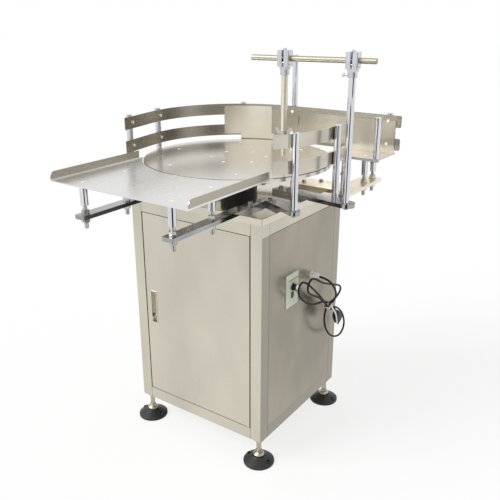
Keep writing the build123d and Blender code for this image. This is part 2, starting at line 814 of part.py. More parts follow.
# Control plate with speed knob and rocker switch, on the case of the controller
with BuildPart() as controller_case:
    with BuildSketch(Plane.YZ.offset(outer_x)):
        with Locations((panel_y, panel_z)):
            RectangleRounded(case_w, case_h, 3)
    extrude(amount=-case_l)
    with BuildSketch(Plane.YZ.offset(outer_x)):
        with Locations((switch_y, switch_z)):
            Rectangle(bezel_w, bezel_h)
    extrude(amount=-switch_pocket, mode=Mode.SUBTRACT)
    with BuildSketch(Plane.YZ.offset(outer_x)):
        with Locations((knob_y, knob_z)):
            Circle(knob_shaft_r + run_gap)
    extrude(amount=-knob_shaft_in - 1, mode=Mode.SUBTRACT)
finish(controller_case, "controller_case")

with BuildPart() as control_plate:
    with BuildSketch(Plane.YZ.offset(outer_x)):
        with Locations((panel_y, panel_z)):
            RectangleRounded(plate_w, plate_h, 2.5)
        with Locations((switch_y, switch_z)):
            Rectangle(
                rocker_w + 2 * bezel_wall + 4 * run_gap,
                rocker_h + 2 * bezel_wall + 4 * run_gap,
                mode=Mode.SUBTRACT,
            )
        with Locations((knob_y, knob_z)):
            Circle(knob_shaft_r + slip_gap, mode=Mode.SUBTRACT)
    extrude(amount=plate_t)
finish(control_plate, "control_plate")

plate_face = outer_x + plate_t
knob_low = plate_face + knob_gap
knob_top = knob_low + knob_skirt_h + knob_h
with BuildPart() as speed_knob:
    with BuildSketch(Plane.YZ.offset(knob_low)):
        with Locations((knob_y, knob_z)):
            Circle(knob_r + knob_skirt)
    extrude(amount=knob_skirt_h)
    with BuildSketch(Plane.YZ.offset(knob_low + knob_skirt_h)):
        with Locations((knob_y, knob_z)):
            Circle(knob_r)
            with PolarLocations(knob_r, grip_count):
                Circle(0.7, mode=Mode.SUBTRACT)
    extrude(amount=knob_h, taper=2)
    with BuildSketch(Plane.YZ.offset(knob_low)):
        with Locations((knob_y, knob_z)):
            Circle(knob_shaft_r)
    extrude(amount=-(knob_gap + plate_t + knob_shaft_in - 1))

with BuildPart() as knob_cap:
    with BuildSketch(Plane.YZ.offset(knob_top)):
        with Locations((knob_y, knob_z)):
            Circle(knob_r - 3)
    extrude(amount=knob_cap_h)
    fillet(knob_cap.edges().filter_by(GeomType.CIRCLE).sort_by(Axis.X)[-1], 0.6)
finish(speed_knob, "speed_knob", knob_cap)

with BuildPart() as switch_bezel:
    with BuildSketch(Plane.YZ.offset(plate_face)):
        with Locations((switch_y, switch_z)):
            RectangleRounded(bezel_w, bezel_h, 1.5)
            Rectangle(rocker_w + 2 * seat_gap, rocker_h + 2 * seat_gap, mode=Mode.SUBTRACT)
    extrude(amount=bezel_t)
    with BuildSketch(Plane.YZ.offset(plate_face)):
        with Locations((switch_y, switch_z)):
            Rectangle(rocker_w + 2 * bezel_wall, rocker_h + 2 * bezel_wall)
            Rectangle(rocker_w + 2 * seat_gap, rocker_h + 2 * seat_gap, mode=Mode.SUBTRACT)
    extrude(amount=-(plate_t + bezel_in))
finish(switch_bezel, "switch_bezel")

# The rocker is stored switched off, its upper half standing out
rocker_pivot = plate_face - 3.0
with BuildPart() as power_rocker:
    with BuildSketch(Plane.XZ.offset(-switch_y - rocker_w / 2)):
        with BuildLine():
            Polyline(
                (rocker_pivot - 5, switch_z - 4.5),
                (rocker_pivot - 5, switch_z + 4.5),
                (rocker_pivot + 3.2, switch_z + 7.3),
                (rocker_pivot + 5.4, switch_z + 7.1),
                (rocker_pivot + 4.4, switch_z),
                (rocker_pivot + 5.4, switch_z - 7.1),
                (rocker_pivot + 3.2, switch_z - 7.3),
                (rocker_pivot - 5, switch_z - 4.5),
            )
        make_face()
    extrude(amount=rocker_w)
    # the trunnion that it rocks on
    with BuildSketch(Plane.XZ.offset(-switch_y - rocker_w / 2 - trunnion_out)):
        with Locations((rocker_pivot, switch_z)):
            Circle(trunnion_r)
    extrude(amount=rocker_w + 2 * trunnion_out)
power_rocker.part = power_rocker.part.rotate(
    Axis((rocker_pivot, switch_y, switch_z), (0, 1, 0)), rocker_tilt
)
finish(power_rocker, "power_rocker")

# Cable gland through the right panel
with BuildPart() as gland_body:
    with BuildSketch(Plane.YZ.offset(outer_x)):
        with Locations((gland_y, gland_z)):
            RegularPolygon(gland_hex / 2, 6, major_radius=False)
    extrude(amount=gland_base)
    with BuildSketch(Plane.YZ.offset(outer_x)):
        with Locations((gland_y, gland_z)):
            Circle(gland_thread_r)
    extrude(amount=-gland_in)
    with BuildSketch(Plane.YZ.offset(outer_x - gland_in)):
        with Locations((gland_y, gland_z)):
            Circle(cord_r + run_gap)
    extrude(amount=gland_in + gland_base, mode=Mode.SUBTRACT)

with BuildPart() as gland_lock_nut:
    with BuildSketch(Plane.YZ.offset(outer_x - skin)):
        with Locations((gland_y, gland_z)):
            RegularPolygon(gland_hex / 2, 6, major_radius=False)
            Circle(gland_thread_r + run_gap, mode=Mode.SUBTRACT)
    extrude(amount=-gland_lock_h)

gland_tip = outer_x + gland_base + gland_nose
with BuildPart() as gland_dome_nut:
    with BuildSketch(Plane.XY.offset(gland_z)):
        with BuildLine():
            Polyline(
                (outer_x + gland_base, gland_y),
                (outer_x + gland_base, gland_y + gland_nut_r),
                (outer_x + gland_base + gland_nut_l, gland_y + gland_nut_r),
                (gland_tip - 4, gland_y + 7.5),
                (gland_tip, gland_y + 5.5),
                (gland_tip, gland_y),
                (outer_x + gland_base, gland_y),
            )
        make_face()
    revolve(axis=Axis((0, gland_y, gland_z), (1, 0, 0)))
    with BuildSketch(Plane.YZ.offset(outer_x + gland_base)):
        with Locations((gland_y, gland_z)):
            Circle(cord_r + run_gap)
    extrude(amount=gland_nose, mode=Mode.SUBTRACT)
finish(gland_body, "cable_gland", gland_dome_nut, gland_lock_nut)

# Mains lead: the free stretch from inside the gland to the tied hank
cord_route = [
    (outer_x + 8, 38, 573),
    (outer_x + 70, 38, 573),
    (outer_x + 93, 54, 550),
    (outer_x + 95, 78, 512),
    (outer_x + 75, 97, 474),
    (outer_x + 42, 104, 452),
]


def bend_radii(points):
    """Radius of the tangent arc at each inner point of a route of straight runs."""
    radii = []
    for before, at, after in zip(points, points[1:], points[2:]):
        run_in = Vector(*at) - Vector(*before)
        run_out = Vector(*after) - Vector(*at)
        half_turn = math.radians(run_in.get_angle(run_out)) / 2
        radii.append(0.45 * min(run_in.length, run_out.length) / math.tan(half_turn))
    return radii


cord_radii = bend_radii(cord_route)
print("power cord bend radii", [round(r, 1) for r in cord_radii])
with BuildPart() as power_cord:
    with BuildLine() as cord_line:
        FilletPolyline(*cord_route, radius=cord_radii)
    with BuildSketch(Plane(origin=cord_line.line @ 0, z_dir=cord_line.line % 0)):
        Circle(cord_r)
    sweep()
cord_length = sum(edge.length for edge in cord_line.edges())
print("power cord length", round(cord_length, 1))
print("volume over section times length", power_cord.part.volume / (math.pi * cord_r**2 * cord_length))
finish(power_cord, "power_cord")

# Hank: loops of the lead lying flat in one plane, gathered in a neck under the tie
hank_x = outer_x + 40.0
hank_t = 13.0
hank_band = 10.0
neck_w = 18.0
neck_l = 34.0
neck_turn = -40.0
tie_w = 8.0
tie_t = 1.5
hank_waist = (117.0, 441.0)
hank_loops = [
    ((18, 506), 122, 33, 147),
    ((54, 507), 92, 17, 135),
    ((136, 480), 60, 34, -32),
    ((163, 360), 101, 52, -50),
]
with BuildPart() as cord_hank:
    with BuildSketch(Plane.YZ.offset(hank_x - hank_t / 2)):
        for centre, long_r, short_r, turn in hank_loops:
            with BuildSketch(mode=Mode.PRIVATE) as loop:
                with Locations(centre):
                    Ellipse(long_r, short_r, rotation=turn)
                    Ellipse(long_r - hank_band, short_r - hank_band, rotation=turn, mode=Mode.SUBTRACT)
            add(loop.sketch)
        # room for the tie on both sides of the neck
        with Locations(hank_waist):
            Rectangle(tie_w + 4 * seat_gap, 3 * neck_w, rotation=neck_turn, mode=Mode.SUBTRACT)
            Rectangle(neck_l, neck_w, rotation=neck_turn)
    extrude(amount=hank_t)
finish(cord_hank, "cord_hank")

waist = (hank_x, *hank_waist)
neck_dir = (0, math.cos(math.radians(neck_turn)), math.sin(math.radians(neck_turn)))
with BuildPart() as cord_tie:
    with BuildSketch(Plane(origin=waist, x_dir=(1, 0, 0), z_dir=neck_dir)):
        RectangleRounded(hank_t + 2 * (seat_gap + tie_t), neck_w + 2 * (seat_gap + tie_t), 2)
        Rectangle(hank_t + 2 * seat_gap, neck_w + 2 * seat_gap, mode=Mode.SUBTRACT)
    extrude(amount=tie_w / 2, both=True)
finish(cord_tie, "cord_tie")

# Plug: moulded two-pin body with a tapered boot, lying in the lower loop
plug_start = (outer_x + 51.0, 124.0, 430.0)
plug_dir = (0, 0.57, -0.82)
plug_plane = Plane(origin=plug_start, x_dir=(1, 0, 0), z_dir=plug_dir)
boot_l = 28.0
plug_l = 38.0
pin_l = 19.0
with BuildPart() as mains_plug:
    with BuildSketch(plug_plane):
        Circle(5)
    with BuildSketch(plug_plane.offset(boot_l)):
        Circle(8)
    loft()
    with BuildSketch(plug_plane.offset(boot_l)):
        RectangleRounded(18, 26, 8)
    with BuildSketch(plug_plane.offset(boot_l + 14)):
        RectangleRounded(22, 36, 9)
    loft()
    with BuildSketch(plug_plane.offset(boot_l + 14)):
        RectangleRounded(22, 36, 9)
    extrude(amount=plug_l - 14)
    with BuildSketch(plug_plane.offset(boot_l + plug_l)):
        with Locations((0, -9.5), (0, 9.5)):
            Circle(2.4)
    extrude(amount=pin_l)
finish(mains_plug, "mains_plug")

# Loading tray: one folded sheet whose rear edge follows the turntable
tray_half = tray_w / 2
with BuildPart() as loading_tray:
    with BuildSketch(Plane.XY.offset(under_z)):
        with Locations((0, -tray_front / 2)):
            Rectangle(tray_w, tray_front)
        Circle(disc_r + disc_gap, mode=Mode.SUBTRACT)
    extrude(amount=table_t)
    for side in (-1, 1):
        with BuildSketch(Plane.YZ.offset(side * (tray_half - table_t / 2))):
            with Locations((-(tray_front + tray_flange_end) / 2, table_z + tray_flange_h / 2)):
                Rectangle(tray_front - tray_flange_end, tray_flange_h)
        extrude(amount=table_t / 2, both=True)
    front_tops = loading_tray.edges().filter_by(Axis.X).group_by(Axis.Z)[-1].group_by(Axis.Y)[0]
    fillet(front_tops, tray_corner_r)
    folds = loading_tray.edges().filter_by(Axis.Y).group_by(Axis.Z)[0]
    fillet(folds, tray_fold_r)
    with BuildSketch(Plane.XY.offset(table_z)):
        with Locations(*tray_stud_places):
            Circle(flush_r + slip_gap)
    extrude(amount=-(flush_r - flush_shank), taper=45, mode=Mode.SUBTRACT)
finish(loading_tray, "loading_tray")

with BuildPart() as outfeed_plate:
    with BuildSketch(Plane.XY.offset(under_z)):
        with Locations((outfeed_x / 2, (outfeed_front + outfeed_back) / 2)):
            Rectangle(outfeed_x, outfeed_back - outfeed_front)
        Circle(disc_r + disc_gap, mode=Mode.SUBTRACT)
        with Locations((outfeed_split / 2, outfeed_back / 2)):
            Rectangle(outfeed_split, outfeed_back, mode=Mode.SUBTRACT)
    extrude(amount=table_t)
    with BuildSketch(Plane.XZ.offset(-outfeed_front)):
        with Locations(((outfeed_lip_start + outfeed_x) / 2, table_z - outfeed_lip / 2)):
            Rectangle(outfeed_x - outfeed_lip_start, outfeed_lip)
    extrude(amount=-table_t)
    with BuildSketch(Plane.XY.offset(table_z)):
        with Locations(*outfeed_stud_places):
            Circle(flush_r + slip_gap)
    extrude(amount=-(flush_r - flush_shank), taper=45, mode=Mode.SUBTRACT)
    with BuildSketch(Plane.XY.offset(under_z)):
        with Locations(outfeed_rear_post, outfeed_front_post):
            Circle(bolt_r + slip_gap)
    extrude(amount=table_t, mode=Mode.SUBTRACT)
finish(outfeed_plate, "outfeed_plate")

plate_screws = flush_screws(stud_places, flush_length)
finish(plate_screws, "plate_screws")

# Pillars under the tray and the outfeed plate: sleeve, stud, washers and nuts
sleeve_low = under_z - sleeve_h
stud_low = cab_top - stud_below
with BuildPart() as plate_sleeves:
    with BuildSketch(Plane.XY.offset(sleeve_low)):
        with Locations(*stud_places):
            Circle(sleeve_r)
    extrude(amount=sleeve_h)
    with BuildSketch(Plane.XY.offset(sleeve_low)):
        with Locations(*stud_places):
            Circle(stud_r + run_gap)
    extrude(amount=stud_in + 2, mode=Mode.SUBTRACT)
    with BuildSketch(Plane.XY.offset(under_z)):
        with Locations(*stud_places):
            Circle(flush_shank + run_gap)
    extrude(amount=-flush_length, mode=Mode.SUBTRACT)
finish(plate_sleeves, "plate_sleeves")

with BuildPart() as plate_studs:
    with BuildSketch(Plane.XY.offset(stud_low)):
        with Locations(*stud_places):
            Circle(stud_r)
    extrude(amount=sleeve_low + stud_in - stud_low)
    chamfer(plate_studs.edges().filter_by(GeomType.CIRCLE).group_by(Axis.Z)[0], 1)

with BuildPart() as stud_washers:
    for z in (cab_top - stud_washer_t, arm_top):
        with BuildSketch(Plane.XY.offset(z)):
            with Locations(*stud_places):
                Circle(stud_washer_r)
                Circle(stud_r + run_gap, mode=Mode.SUBTRACT)
        extrude(amount=stud_washer_t)
with BuildPart() as stud_nuts:
    for z in (cab_top - stud_washer_t - stud_nut_h, arm_top + stud_washer_t):
        with BuildSketch(Plane.XY.offset(z)):
            with Locations(*stud_places):
                RegularPolygon(stud_hex / 2, 6, major_radius=False)
                Circle(stud_r + run_gap, mode=Mode.SUBTRACT)
        extrude(amount=stud_nut_h)

# Thin stud from the bracket's ear up to the free end of the right rails
with BuildPart() as rail_stud:
    with BuildSketch(Plane.XY.offset(cab_top - nut_h - 2)):
        with Locations(rail_stud_place):
            Circle(bolt_r)
    extrude(amount=rail_low_z - cab_top + nut_h + 2)
with BuildPart() as rail_stud_nuts:
    for z in (cab_top - nut_h, arm_top, rail_stud_nut_z):
        with BuildSketch(Plane.XY.offset(z)):
            with Locations(rail_stud_place):
                RegularPolygon(bolt_hex / 2, 6, major_radius=False)
                Circle(bolt_r + run_gap, mode=Mode.SUBTRACT)
        extrude(amount=nut_h)
finish(plate_studs, "plate_studs", stud_washers, stud_nuts, rail_stud, rail_stud_nuts)

# Support arms: flat bars on the cabinet top, round-ended under the rail posts
post_bolt_places = [right_front_post, right_mid_post, clamp_post, left_post, hidden_post]
post_bolt_places += [rear_tall_post, tail_post]
with BuildPart() as rail_arms:
    with BuildSketch(Plane.XY.offset(cab_top)):
        for inner, outer, width, steps in arm_ends.values():
            length = math.dist(inner, outer)
            turn = math.degrees(math.atan2(outer[1] - inner[1], outer[0] - inner[0]))
            with Locations(along(inner, outer, length / 2)):
                Rectangle(length, width, rotation=turn)
            with Locations(outer):
                Circle(width / 2)
        with Locations(*arm_bolt_places, rail_bolt, *post_bolt_places):
            Circle(bolt_r + slip_gap, mode=Mode.SUBTRACT)
    extrude(amount=arm_t)

with BuildPart() as tray_arms:
    with BuildSketch(Plane.XY.offset(cab_top)):
        with Locations(*[(sx * tray_arm_x, -(tray_arm_inner + tray_arm_outer) / 2) for sx in (-1, 1)]):
            RectangleRounded(arm_w, tray_arm_outer - tray_arm_inner, 2)
        with Locations(*arm_bolt_places):
            Circle(bolt_r + slip_gap, mode=Mode.SUBTRACT)
        with Locations(*tray_stud_places):
            Circle(stud_r + slip_gap, mode=Mode.SUBTRACT)
    extrude(amount=arm_t)
finish(rail_arms, "support_arms", tray_arms)

with BuildPart() as outfeed_bracket:
    with BuildSketch(Plane.XY.offset(cab_top)):
        with BuildLine():
            Polyline(
                (bracket_in, bracket_front),
                (bracket_out - ear_w, bracket_front),
                (bracket_out - ear_w, bracket_front - ear_l),
                (bracket_out, bracket_front - ear_l),
                (bracket_out, bracket_back),
                (bracket_out - bracket_leg, bracket_back),
                (bracket_out - bracket_leg, bracket_front + bracket_foot),
                (bracket_in, bracket_front + bracket_foot),
                (bracket_in, bracket_front),
            )
        make_face()
        fillet(vertices(), 6)
        with Locations(*bracket_bolts):
            Circle(bolt_r + slip_gap, mode=Mode.SUBTRACT)
        with Locations(*outfeed_stud_places):
            Circle(stud_r + slip_gap, mode=Mode.SUBTRACT)
        with Locations(rail_stud_place):
            Circle(bolt_r + slip_gap, mode=Mode.SUBTRACT)
    extrude(amount=arm_t)
finish(outfeed_bracket, "outfeed_bracket")

# Bolts of the arms: heads and washers on top, washers and nuts below the top plate
through_low = frame_top - washer_t - nut_h - 3
post_bolt_in = 20.0
plate_post_places = [outfeed_rear_post, outfeed_front_post]
head_below_arm = cab_top - washer_t - bolt_head_h
head_below_plate = under_z - washer_t - bolt_head_h
with BuildPart() as arm_bolts:
    for places, head_z, low, high in (
        ([*arm_bolt_places, rail_bolt], arm_top + washer_t, through_low, arm_top + washer_t),
        (post_bolt_places, head_below_arm, cab_top - washer_t, arm_top + post_bolt_in),
        (plate_post_places, head_below_plate, under_z - washer_t, table_z + post_bolt_in),
    ):
        with BuildSketch(Plane.XY.offset(head_z)):
            with Locations(*places):
                RegularPolygon(bolt_hex / 2, 6, major_radius=False)
        extrude(amount=bolt_head_h)
        with BuildSketch(Plane.XY.offset(low)):
            with Locations(*places):
                Circle(bolt_r)
        extrude(amount=high - low)
with BuildPart() as bolt_washers:
    for places, z in (
        ([*arm_bolt_places, rail_bolt], arm_top),
        (arm_bolt_places, frame_top - washer_t),
        (post_bolt_places, cab_top - washer_t),
        (plate_post_places, under_z - washer_t),
    ):
        with BuildSketch(Plane.XY.offset(z)):
            with Locations(*places):
                Circle(washer_r)
                Circle(bolt_r + run_gap, mode=Mode.SUBTRACT)
        extrude(amount=washer_t)
with BuildPart() as bolt_nuts:
    with BuildSketch(Plane.XY.offset(frame_top - washer_t - nut_h)):
        with Locations(*arm_bolt_places):
            RegularPolygon(bolt_hex / 2, 6, major_radius=False)
            Circle(bolt_r + run_gap, mode=Mode.SUBTRACT)
    extrude(amount=nut_h)
finish(arm_bolts, "arm_bolts", bolt_washers, bolt_nuts)

# Rail posts and the two tall posts, each with a blind bore for its bolt from below
rail_screw_r = 2.5
rail_screw_in = 12.0
rail_head_r = 5.0
rail_head_h = 3.0
rail_bow = 0.1
down_y = (0, -1)
rear_fixings = [
    (tail_post, polar(-1, tail_angle)),
    (left_post, polar(-1, left_angle)),
    (rear_tall_post, down_y),
    (outfeed_rear_post, down_y),
]
right_fixings = [
    (right_front_post, polar(-1, right_front_angle)),
    (right_mid_post, (-1, 0)),
]


def screw_planes(fixings, heights):
    """Planes at the post axes, facing the rails, one for each rail screw."""
    return [
        Plane(origin=(x, y, z), x_dir=(0, 0, 1), z_dir=(dx, dy, 0))
        for (x, y), (dx, dy) in fixings
        for z in heights
    ]


rear_screw_planes = screw_planes(rear_fixings, screw_zs)
right_screw_planes = screw_planes(right_fixings, screw_zs)
rail_face = post_r + seat_gap + rail_t

post_layout = [
    (post_top, arm_top, [right_front_post, right_mid_post, left_post, hidden_post, tail_post]),
    (post_top, table_z, plate_post_places),
]
tall_layout = [(tall_top, arm_top, [clamp_post, rear_tall_post])]


def posts(layout):
    """Round bars with chamfered tops, a bolt bore below and holes for the rail screws."""
    with BuildPart() as bars:
        for top, low, places in layout:
            with BuildSketch(Plane.XY.offset(low)):
                with Locations(*places):
                    Circle(post_r)
            extrude(amount=top - low)
        chamfer(bars.edges().filter_by(GeomType.CIRCLE).group_by(Axis.Z)[-1], 1)
        for top, low, places in layout:
            with BuildSketch(Plane.XY.offset(low)):
                with Locations(*places):
                    Circle(bolt_r + run_gap)
            extrude(amount=post_bolt_in + 3, mode=Mode.SUBTRACT)
        for plane in rear_screw_planes + right_screw_planes:
            with BuildSketch(plane.offset(post_r - rail_screw_in)):
                Circle(rail_screw_r + run_gap)
            extrude(amount=rail_screw_in + seat_gap, mode=Mode.SUBTRACT)
    return bars


rail_posts = posts(post_layout)
finish(rail_posts, "rail_posts")
tall_posts = posts(tall_layout)
finish(tall_posts, "tall_posts")

# Rails: flat bands bent on edge round the turntable
with BuildPart() as rear_rails:
    for z in (rail_low_z, rail_high_z):
        with BuildSketch(Plane.XY.offset(z)):
            with BuildLine():
                inner = CenterArc((0, 0), rear_rail_r, 90, tail_angle - 90)
                outer = CenterArc((0, 0), rear_rail_r + rail_t, 90, tail_angle - 90)
                Polyline(
                    inner @ 0,
                    (outfeed_end, rear_rail_r),
                    (outfeed_end, rear_rail_r + rail_t),
                    outer @ 0,
                )
                tail_run = Vector(*polar(tail_length, tail_turn))
                Polyline(inner @ 1, inner @ 1 + tail_run, outer @ 1 + tail_run, outer @ 1)
            make_face()
        extrude(amount=rail_h)
    for plane in rear_screw_planes:
        with BuildSketch(plane.offset(post_r)):
            Circle(rail_screw_r + slip_gap)
        extrude(amount=rail_t + 1, mode=Mode.SUBTRACT)
    ends = rear_rails.edges().filter_by(Axis.Y).group_by(Axis.X)[-1]
    fillet(ends, 5)
finish(rear_rails, "rear_rails")

right_rail_start = -37.5
right_rail_run = 118.0
with BuildPart() as right_rails:
    for z in (rail_low_z, rail_high_z):
        with BuildSketch(Plane.XY.offset(z)):
            with BuildLine():
                inner = CenterArc((0, 0), right_rail_r, right_rail_start, -right_rail_start)
                outer = CenterArc((0, 0), right_rail_r + rail_t, right_rail_start, -right_rail_start)
                Line(inner @ 0, outer @ 0)
                straight = Vector(0, right_rail_run)
                Polyline(inner @ 1, inner @ 1 + straight, outer @ 1 + straight, outer @ 1)
            make_face()
        extrude(amount=rail_h)
    for plane in right_screw_planes:
        with BuildSketch(plane.offset(post_r)):
            Circle(rail_screw_r + slip_gap)
        extrude(amount=rail_t + 1, mode=Mode.SUBTRACT)
finish(right_rails, "right_rails")

# Guide sheets inside the rear rails
sheet_r = rear_rail_r - seat_gap
sheet_t = 2.0
notch_r = 7.0
outfeed_sheet_turn = 103.3
outfeed_sheet_x = disc_r + 93.5
outfeed_sheet_top = table_z + 107.0
joint_plate_w = 48.0
joint_plate_h = 42.0
joint_plate_x = 11.0
joint_plate_z = table_z + 75.0
with BuildPart() as outfeed_guide_sheet:
    with BuildSketch(Plane.XY.offset(table_z + seat_gap)):
        with BuildLine():
            outer = CenterArc((0, 0), sheet_r, 90, outfeed_sheet_turn - 90)
            inner = CenterArc((0, 0), sheet_r - sheet_t, 90, outfeed_sheet_turn - 90)
            Polyline(
                outer @ 0,
                (outfeed_sheet_x, sheet_r),
                (outfeed_sheet_x, sheet_r - sheet_t),
                inner @ 0,
            )
            Line(inner @ 1, outer @ 1)
        make_face()
    extrude(amount=outfeed_sheet_top - table_z - seat_gap)
    # notches for the heads of the upper screws, holes for the lower ones
    for fixing in rear_fixings[2:]:
        low_plane, high_plane = screw_planes([fixing], screw_zs)
        with BuildSketch(high_plane.offset(rail_face)):
            Circle(notch_r)
        extrude(amount=sheet_t + 1, mode=Mode.SUBTRACT)
        with BuildSketch(low_plane.offset(rail_face)):
            Circle(rail_screw_r + slip_gap)
        extrude(amount=sheet_t + 1, mode=Mode.SUBTRACT)
with BuildPart() as joint_plate:
    with BuildSketch(Plane.XZ.offset(-(sheet_r - sheet_t - seat_gap))):
        with Locations((joint_plate_x, joint_plate_z)):
            RectangleRounded(joint_plate_w, joint_plate_h, 7)
    extrude(amount=sheet_t)
finish(outfeed_guide_sheet, "outfeed_guide_sheet", joint_plate)

curved_sheet_turns = (103.36, 135.0)
strip_turns = (101.5, 124.0)
strip_low = table_z - 6.0
strip_h = rail_low_gap + 15.0
strip_screw_turn = strip_turns[1] - 1.0
strip_screw_z = rail_low_z + 3.0
strip_screw_r = 1.5
strip_head_r = 4.0
strip_plane = Plane(
    origin=(0, 0, strip_screw_z), x_dir=(0, 0, 1), z_dir=(*polar(-1, strip_screw_turn), 0)
)


def curved_sheet(radius, turns, low, height):
    """A sheet of the guide's thickness bent about the turntable axis."""
    with BuildPart() as sheet:
        with BuildSketch(Plane.XY.offset(low)):
            with BuildLine():
                outer = CenterArc((0, 0), radius, turns[0], turns[1] - turns[0])
                inner = CenterArc((0, 0), radius - sheet_t, turns[0], turns[1] - turns[0])
                Line(inner @ 0, outer @ 0)
                Line(inner @ 1, outer @ 1)
            make_face()
        extrude(amount=height)
        with BuildSketch(strip_plane.offset(-rear_rail_r - rail_t)):
            Circle(strip_screw_r + run_gap)
        extrude(amount=30, mode=Mode.SUBTRACT)
    return sheet


strip_back = sheet_r - sheet_t - seat_gap
curved_guide_sheet = curved_sheet(sheet_r, curved_sheet_turns, rail_low_z + 5, 99)
guide_strip = curved_sheet(strip_back, strip_turns, strip_low, strip_h)
with BuildPart() as strip_screw:
    with BuildSketch(strip_plane.offset(-strip_back + sheet_t + seat_gap / 3)):
        Circle(strip_head_r)
    extrude(amount=2)
    with BuildSketch(strip_plane.offset(-strip_back + sheet_t + seat_gap / 3)):
        Circle(strip_screw_r)
    extrude(amount=-(2 * sheet_t + seat_gap))
finish(curved_guide_sheet, "curved_guide_sheet", guide_strip, strip_screw)

# Rail screws: pan heads on the bottle side, through the sheet where there is one
with BuildPart() as rail_screws:
    for plane in rear_screw_planes + right_screw_planes:
        behind_sheet = plane.origin.X > 0 and plane.origin.Y > rear_rail_r
        through = sheet_t + seat_gap if behind_sheet and plane.origin.Z < rail_high_z else rail_bow
        with BuildSketch(plane.offset(rail_face + through)):
            Circle(rail_head_r)
        extrude(amount=rail_head_h)
        with BuildSketch(plane.offset(post_r - rail_screw_in + 1)):
            Circle(rail_screw_r)
        extrude(amount=rail_face + through - post_r + rail_screw_in - 1)
finish(rail_screws, "rail_screws")

# Cross bar over the turntable, and the two clamps that ride on it
bar_dir = polar(1, bar_turn)
bar_side = polar(1, bar_turn + 90)


def on_bar(distance):
    """The point of the bar's axis at a distance from the clamp post, in plan."""
    return tuple(a + distance * b for a, b in zip(clamp_post, bar_dir))


bar_plane = Plane(origin=(*on_bar(-bar_long), bar_z), x_dir=(0, 0, 1), z_dir=(*bar_dir, 0))
with BuildPart() as cross_bar:
    with BuildSketch(bar_plane):
        Circle(bar_r)
    extrude(amount=bar_long + bar_short)
    chamfer(cross_bar.edges().filter_by(GeomType.CIRCLE), 1)
finish(cross_bar, "cross_bar")

block_w = 36.0
block_under = 22.0
block_over = 23.0
block_low = bar_z - block_under
block_high = bar_z + block_over
clamp_hex = 30.0
clamp_hex_h = 7.0
clamp_collar_r = post_r + 3.5
clamp_collar_h = 16.0
pinch_slot_w = 6.0
pinch_r = 2.5
pinch_hex = 10.0
pinch_head_h = 4.0
pinch_drop = 10.5
pinch_side = -post_r - 3
lock_r = 4.0
lock_head_h = 5.0
lock_hex = 10.0
collar_low = block_low - clamp_hex_h - clamp_collar_h
rod_seat = bar_z - bar_r - 2.5


def clamp(distance):
    """Body, pinch screw and lock screw of one clamp at a distance along the bar."""
    centre = on_bar(distance)
    with BuildPart() as body:
        with BuildSketch(Plane.XY.offset(block_low)):
            with Locations(centre):
                RectangleRounded(block_w, block_w, 4, rotation=bar_turn)
        extrude(amount=block_high - block_low)
        chamfer(body.faces().sort_by(Axis.Z)[-1].edges(), 1.5)
        with BuildSketch(Plane.XY.offset(block_low - clamp_hex_h)):
            with Locations(centre):
                RegularPolygon(clamp_hex / 2, 6, major_radius=False, rotation=bar_turn)
        extrude(amount=clamp_hex_h)
        with BuildSketch(Plane.XY.offset(collar_low)):
            with Locations(centre):
                Circle(clamp_collar_r)
        extrude(amount=clamp_collar_h)
        # bores for the upright and for the bar, and the slot that lets the block pinch
        with BuildSketch(Plane.XY.offset(collar_low)):
            with Locations(centre):
                Circle(post_r + run_gap)
        extrude(amount=rod_seat - collar_low, mode=Mode.SUBTRACT)
        with BuildSketch(bar_plane.offset(distance + bar_long - block_w)):
            Circle(bar_r + run_gap)
        extrude(amount=2 * block_w, mode=Mode.SUBTRACT)
        middle = tuple(a - b * block_w / 4 for a, b in zip(centre, bar_side))
        with BuildSketch(Plane.XY.offset(block_low)):
            with Locations(middle):
                Rectangle(pinch_slot_w, block_w / 2 + 1, rotation=bar_turn)
        extrude(amount=block_high - block_low, mode=Mode.SUBTRACT)
        pinch = Plane(
            origin=(*[a + pinch_side * b for a, b in zip(centre, bar_side)], bar_z - pinch_drop),
            x_dir=(0, 0, 1),
            z_dir=(*bar_dir, 0),
        )
        with BuildSketch(pinch.offset(-block_w / 2)):
            Circle(pinch_r + run_gap)
        extrude(amount=block_w, mode=Mode.SUBTRACT)
        with BuildSketch(Plane.XY.offset(bar_z)):
            with Locations(centre):
                Circle(lock_r + run_gap)
        extrude(amount=block_high - bar_z, mode=Mode.SUBTRACT)
    with BuildPart() as pinch_screw:
        with BuildSketch(pinch.offset(block_w / 2)):
            RegularPolygon(pinch_hex / 2, 6, major_radius=False)
        extrude(amount=pinch_head_h)
        with BuildSketch(pinch.offset(-block_w / 2)):
            Circle(pinch_r)
        extrude(amount=block_w)
    with BuildPart() as lock_screw:
        with BuildSketch(Plane.XY.offset(block_high)):
            with Locations(centre):
                RegularPolygon(lock_hex / 2, 6, major_radius=False)
        extrude(amount=lock_head_h)
        with BuildSketch(Plane.XY.offset(bar_z + bar_r + seat_gap)):
            with Locations(centre):
                Circle(lock_r)
        extrude(amount=block_high - bar_z - bar_r - seat_gap)
    return body, pinch_screw, lock_screw


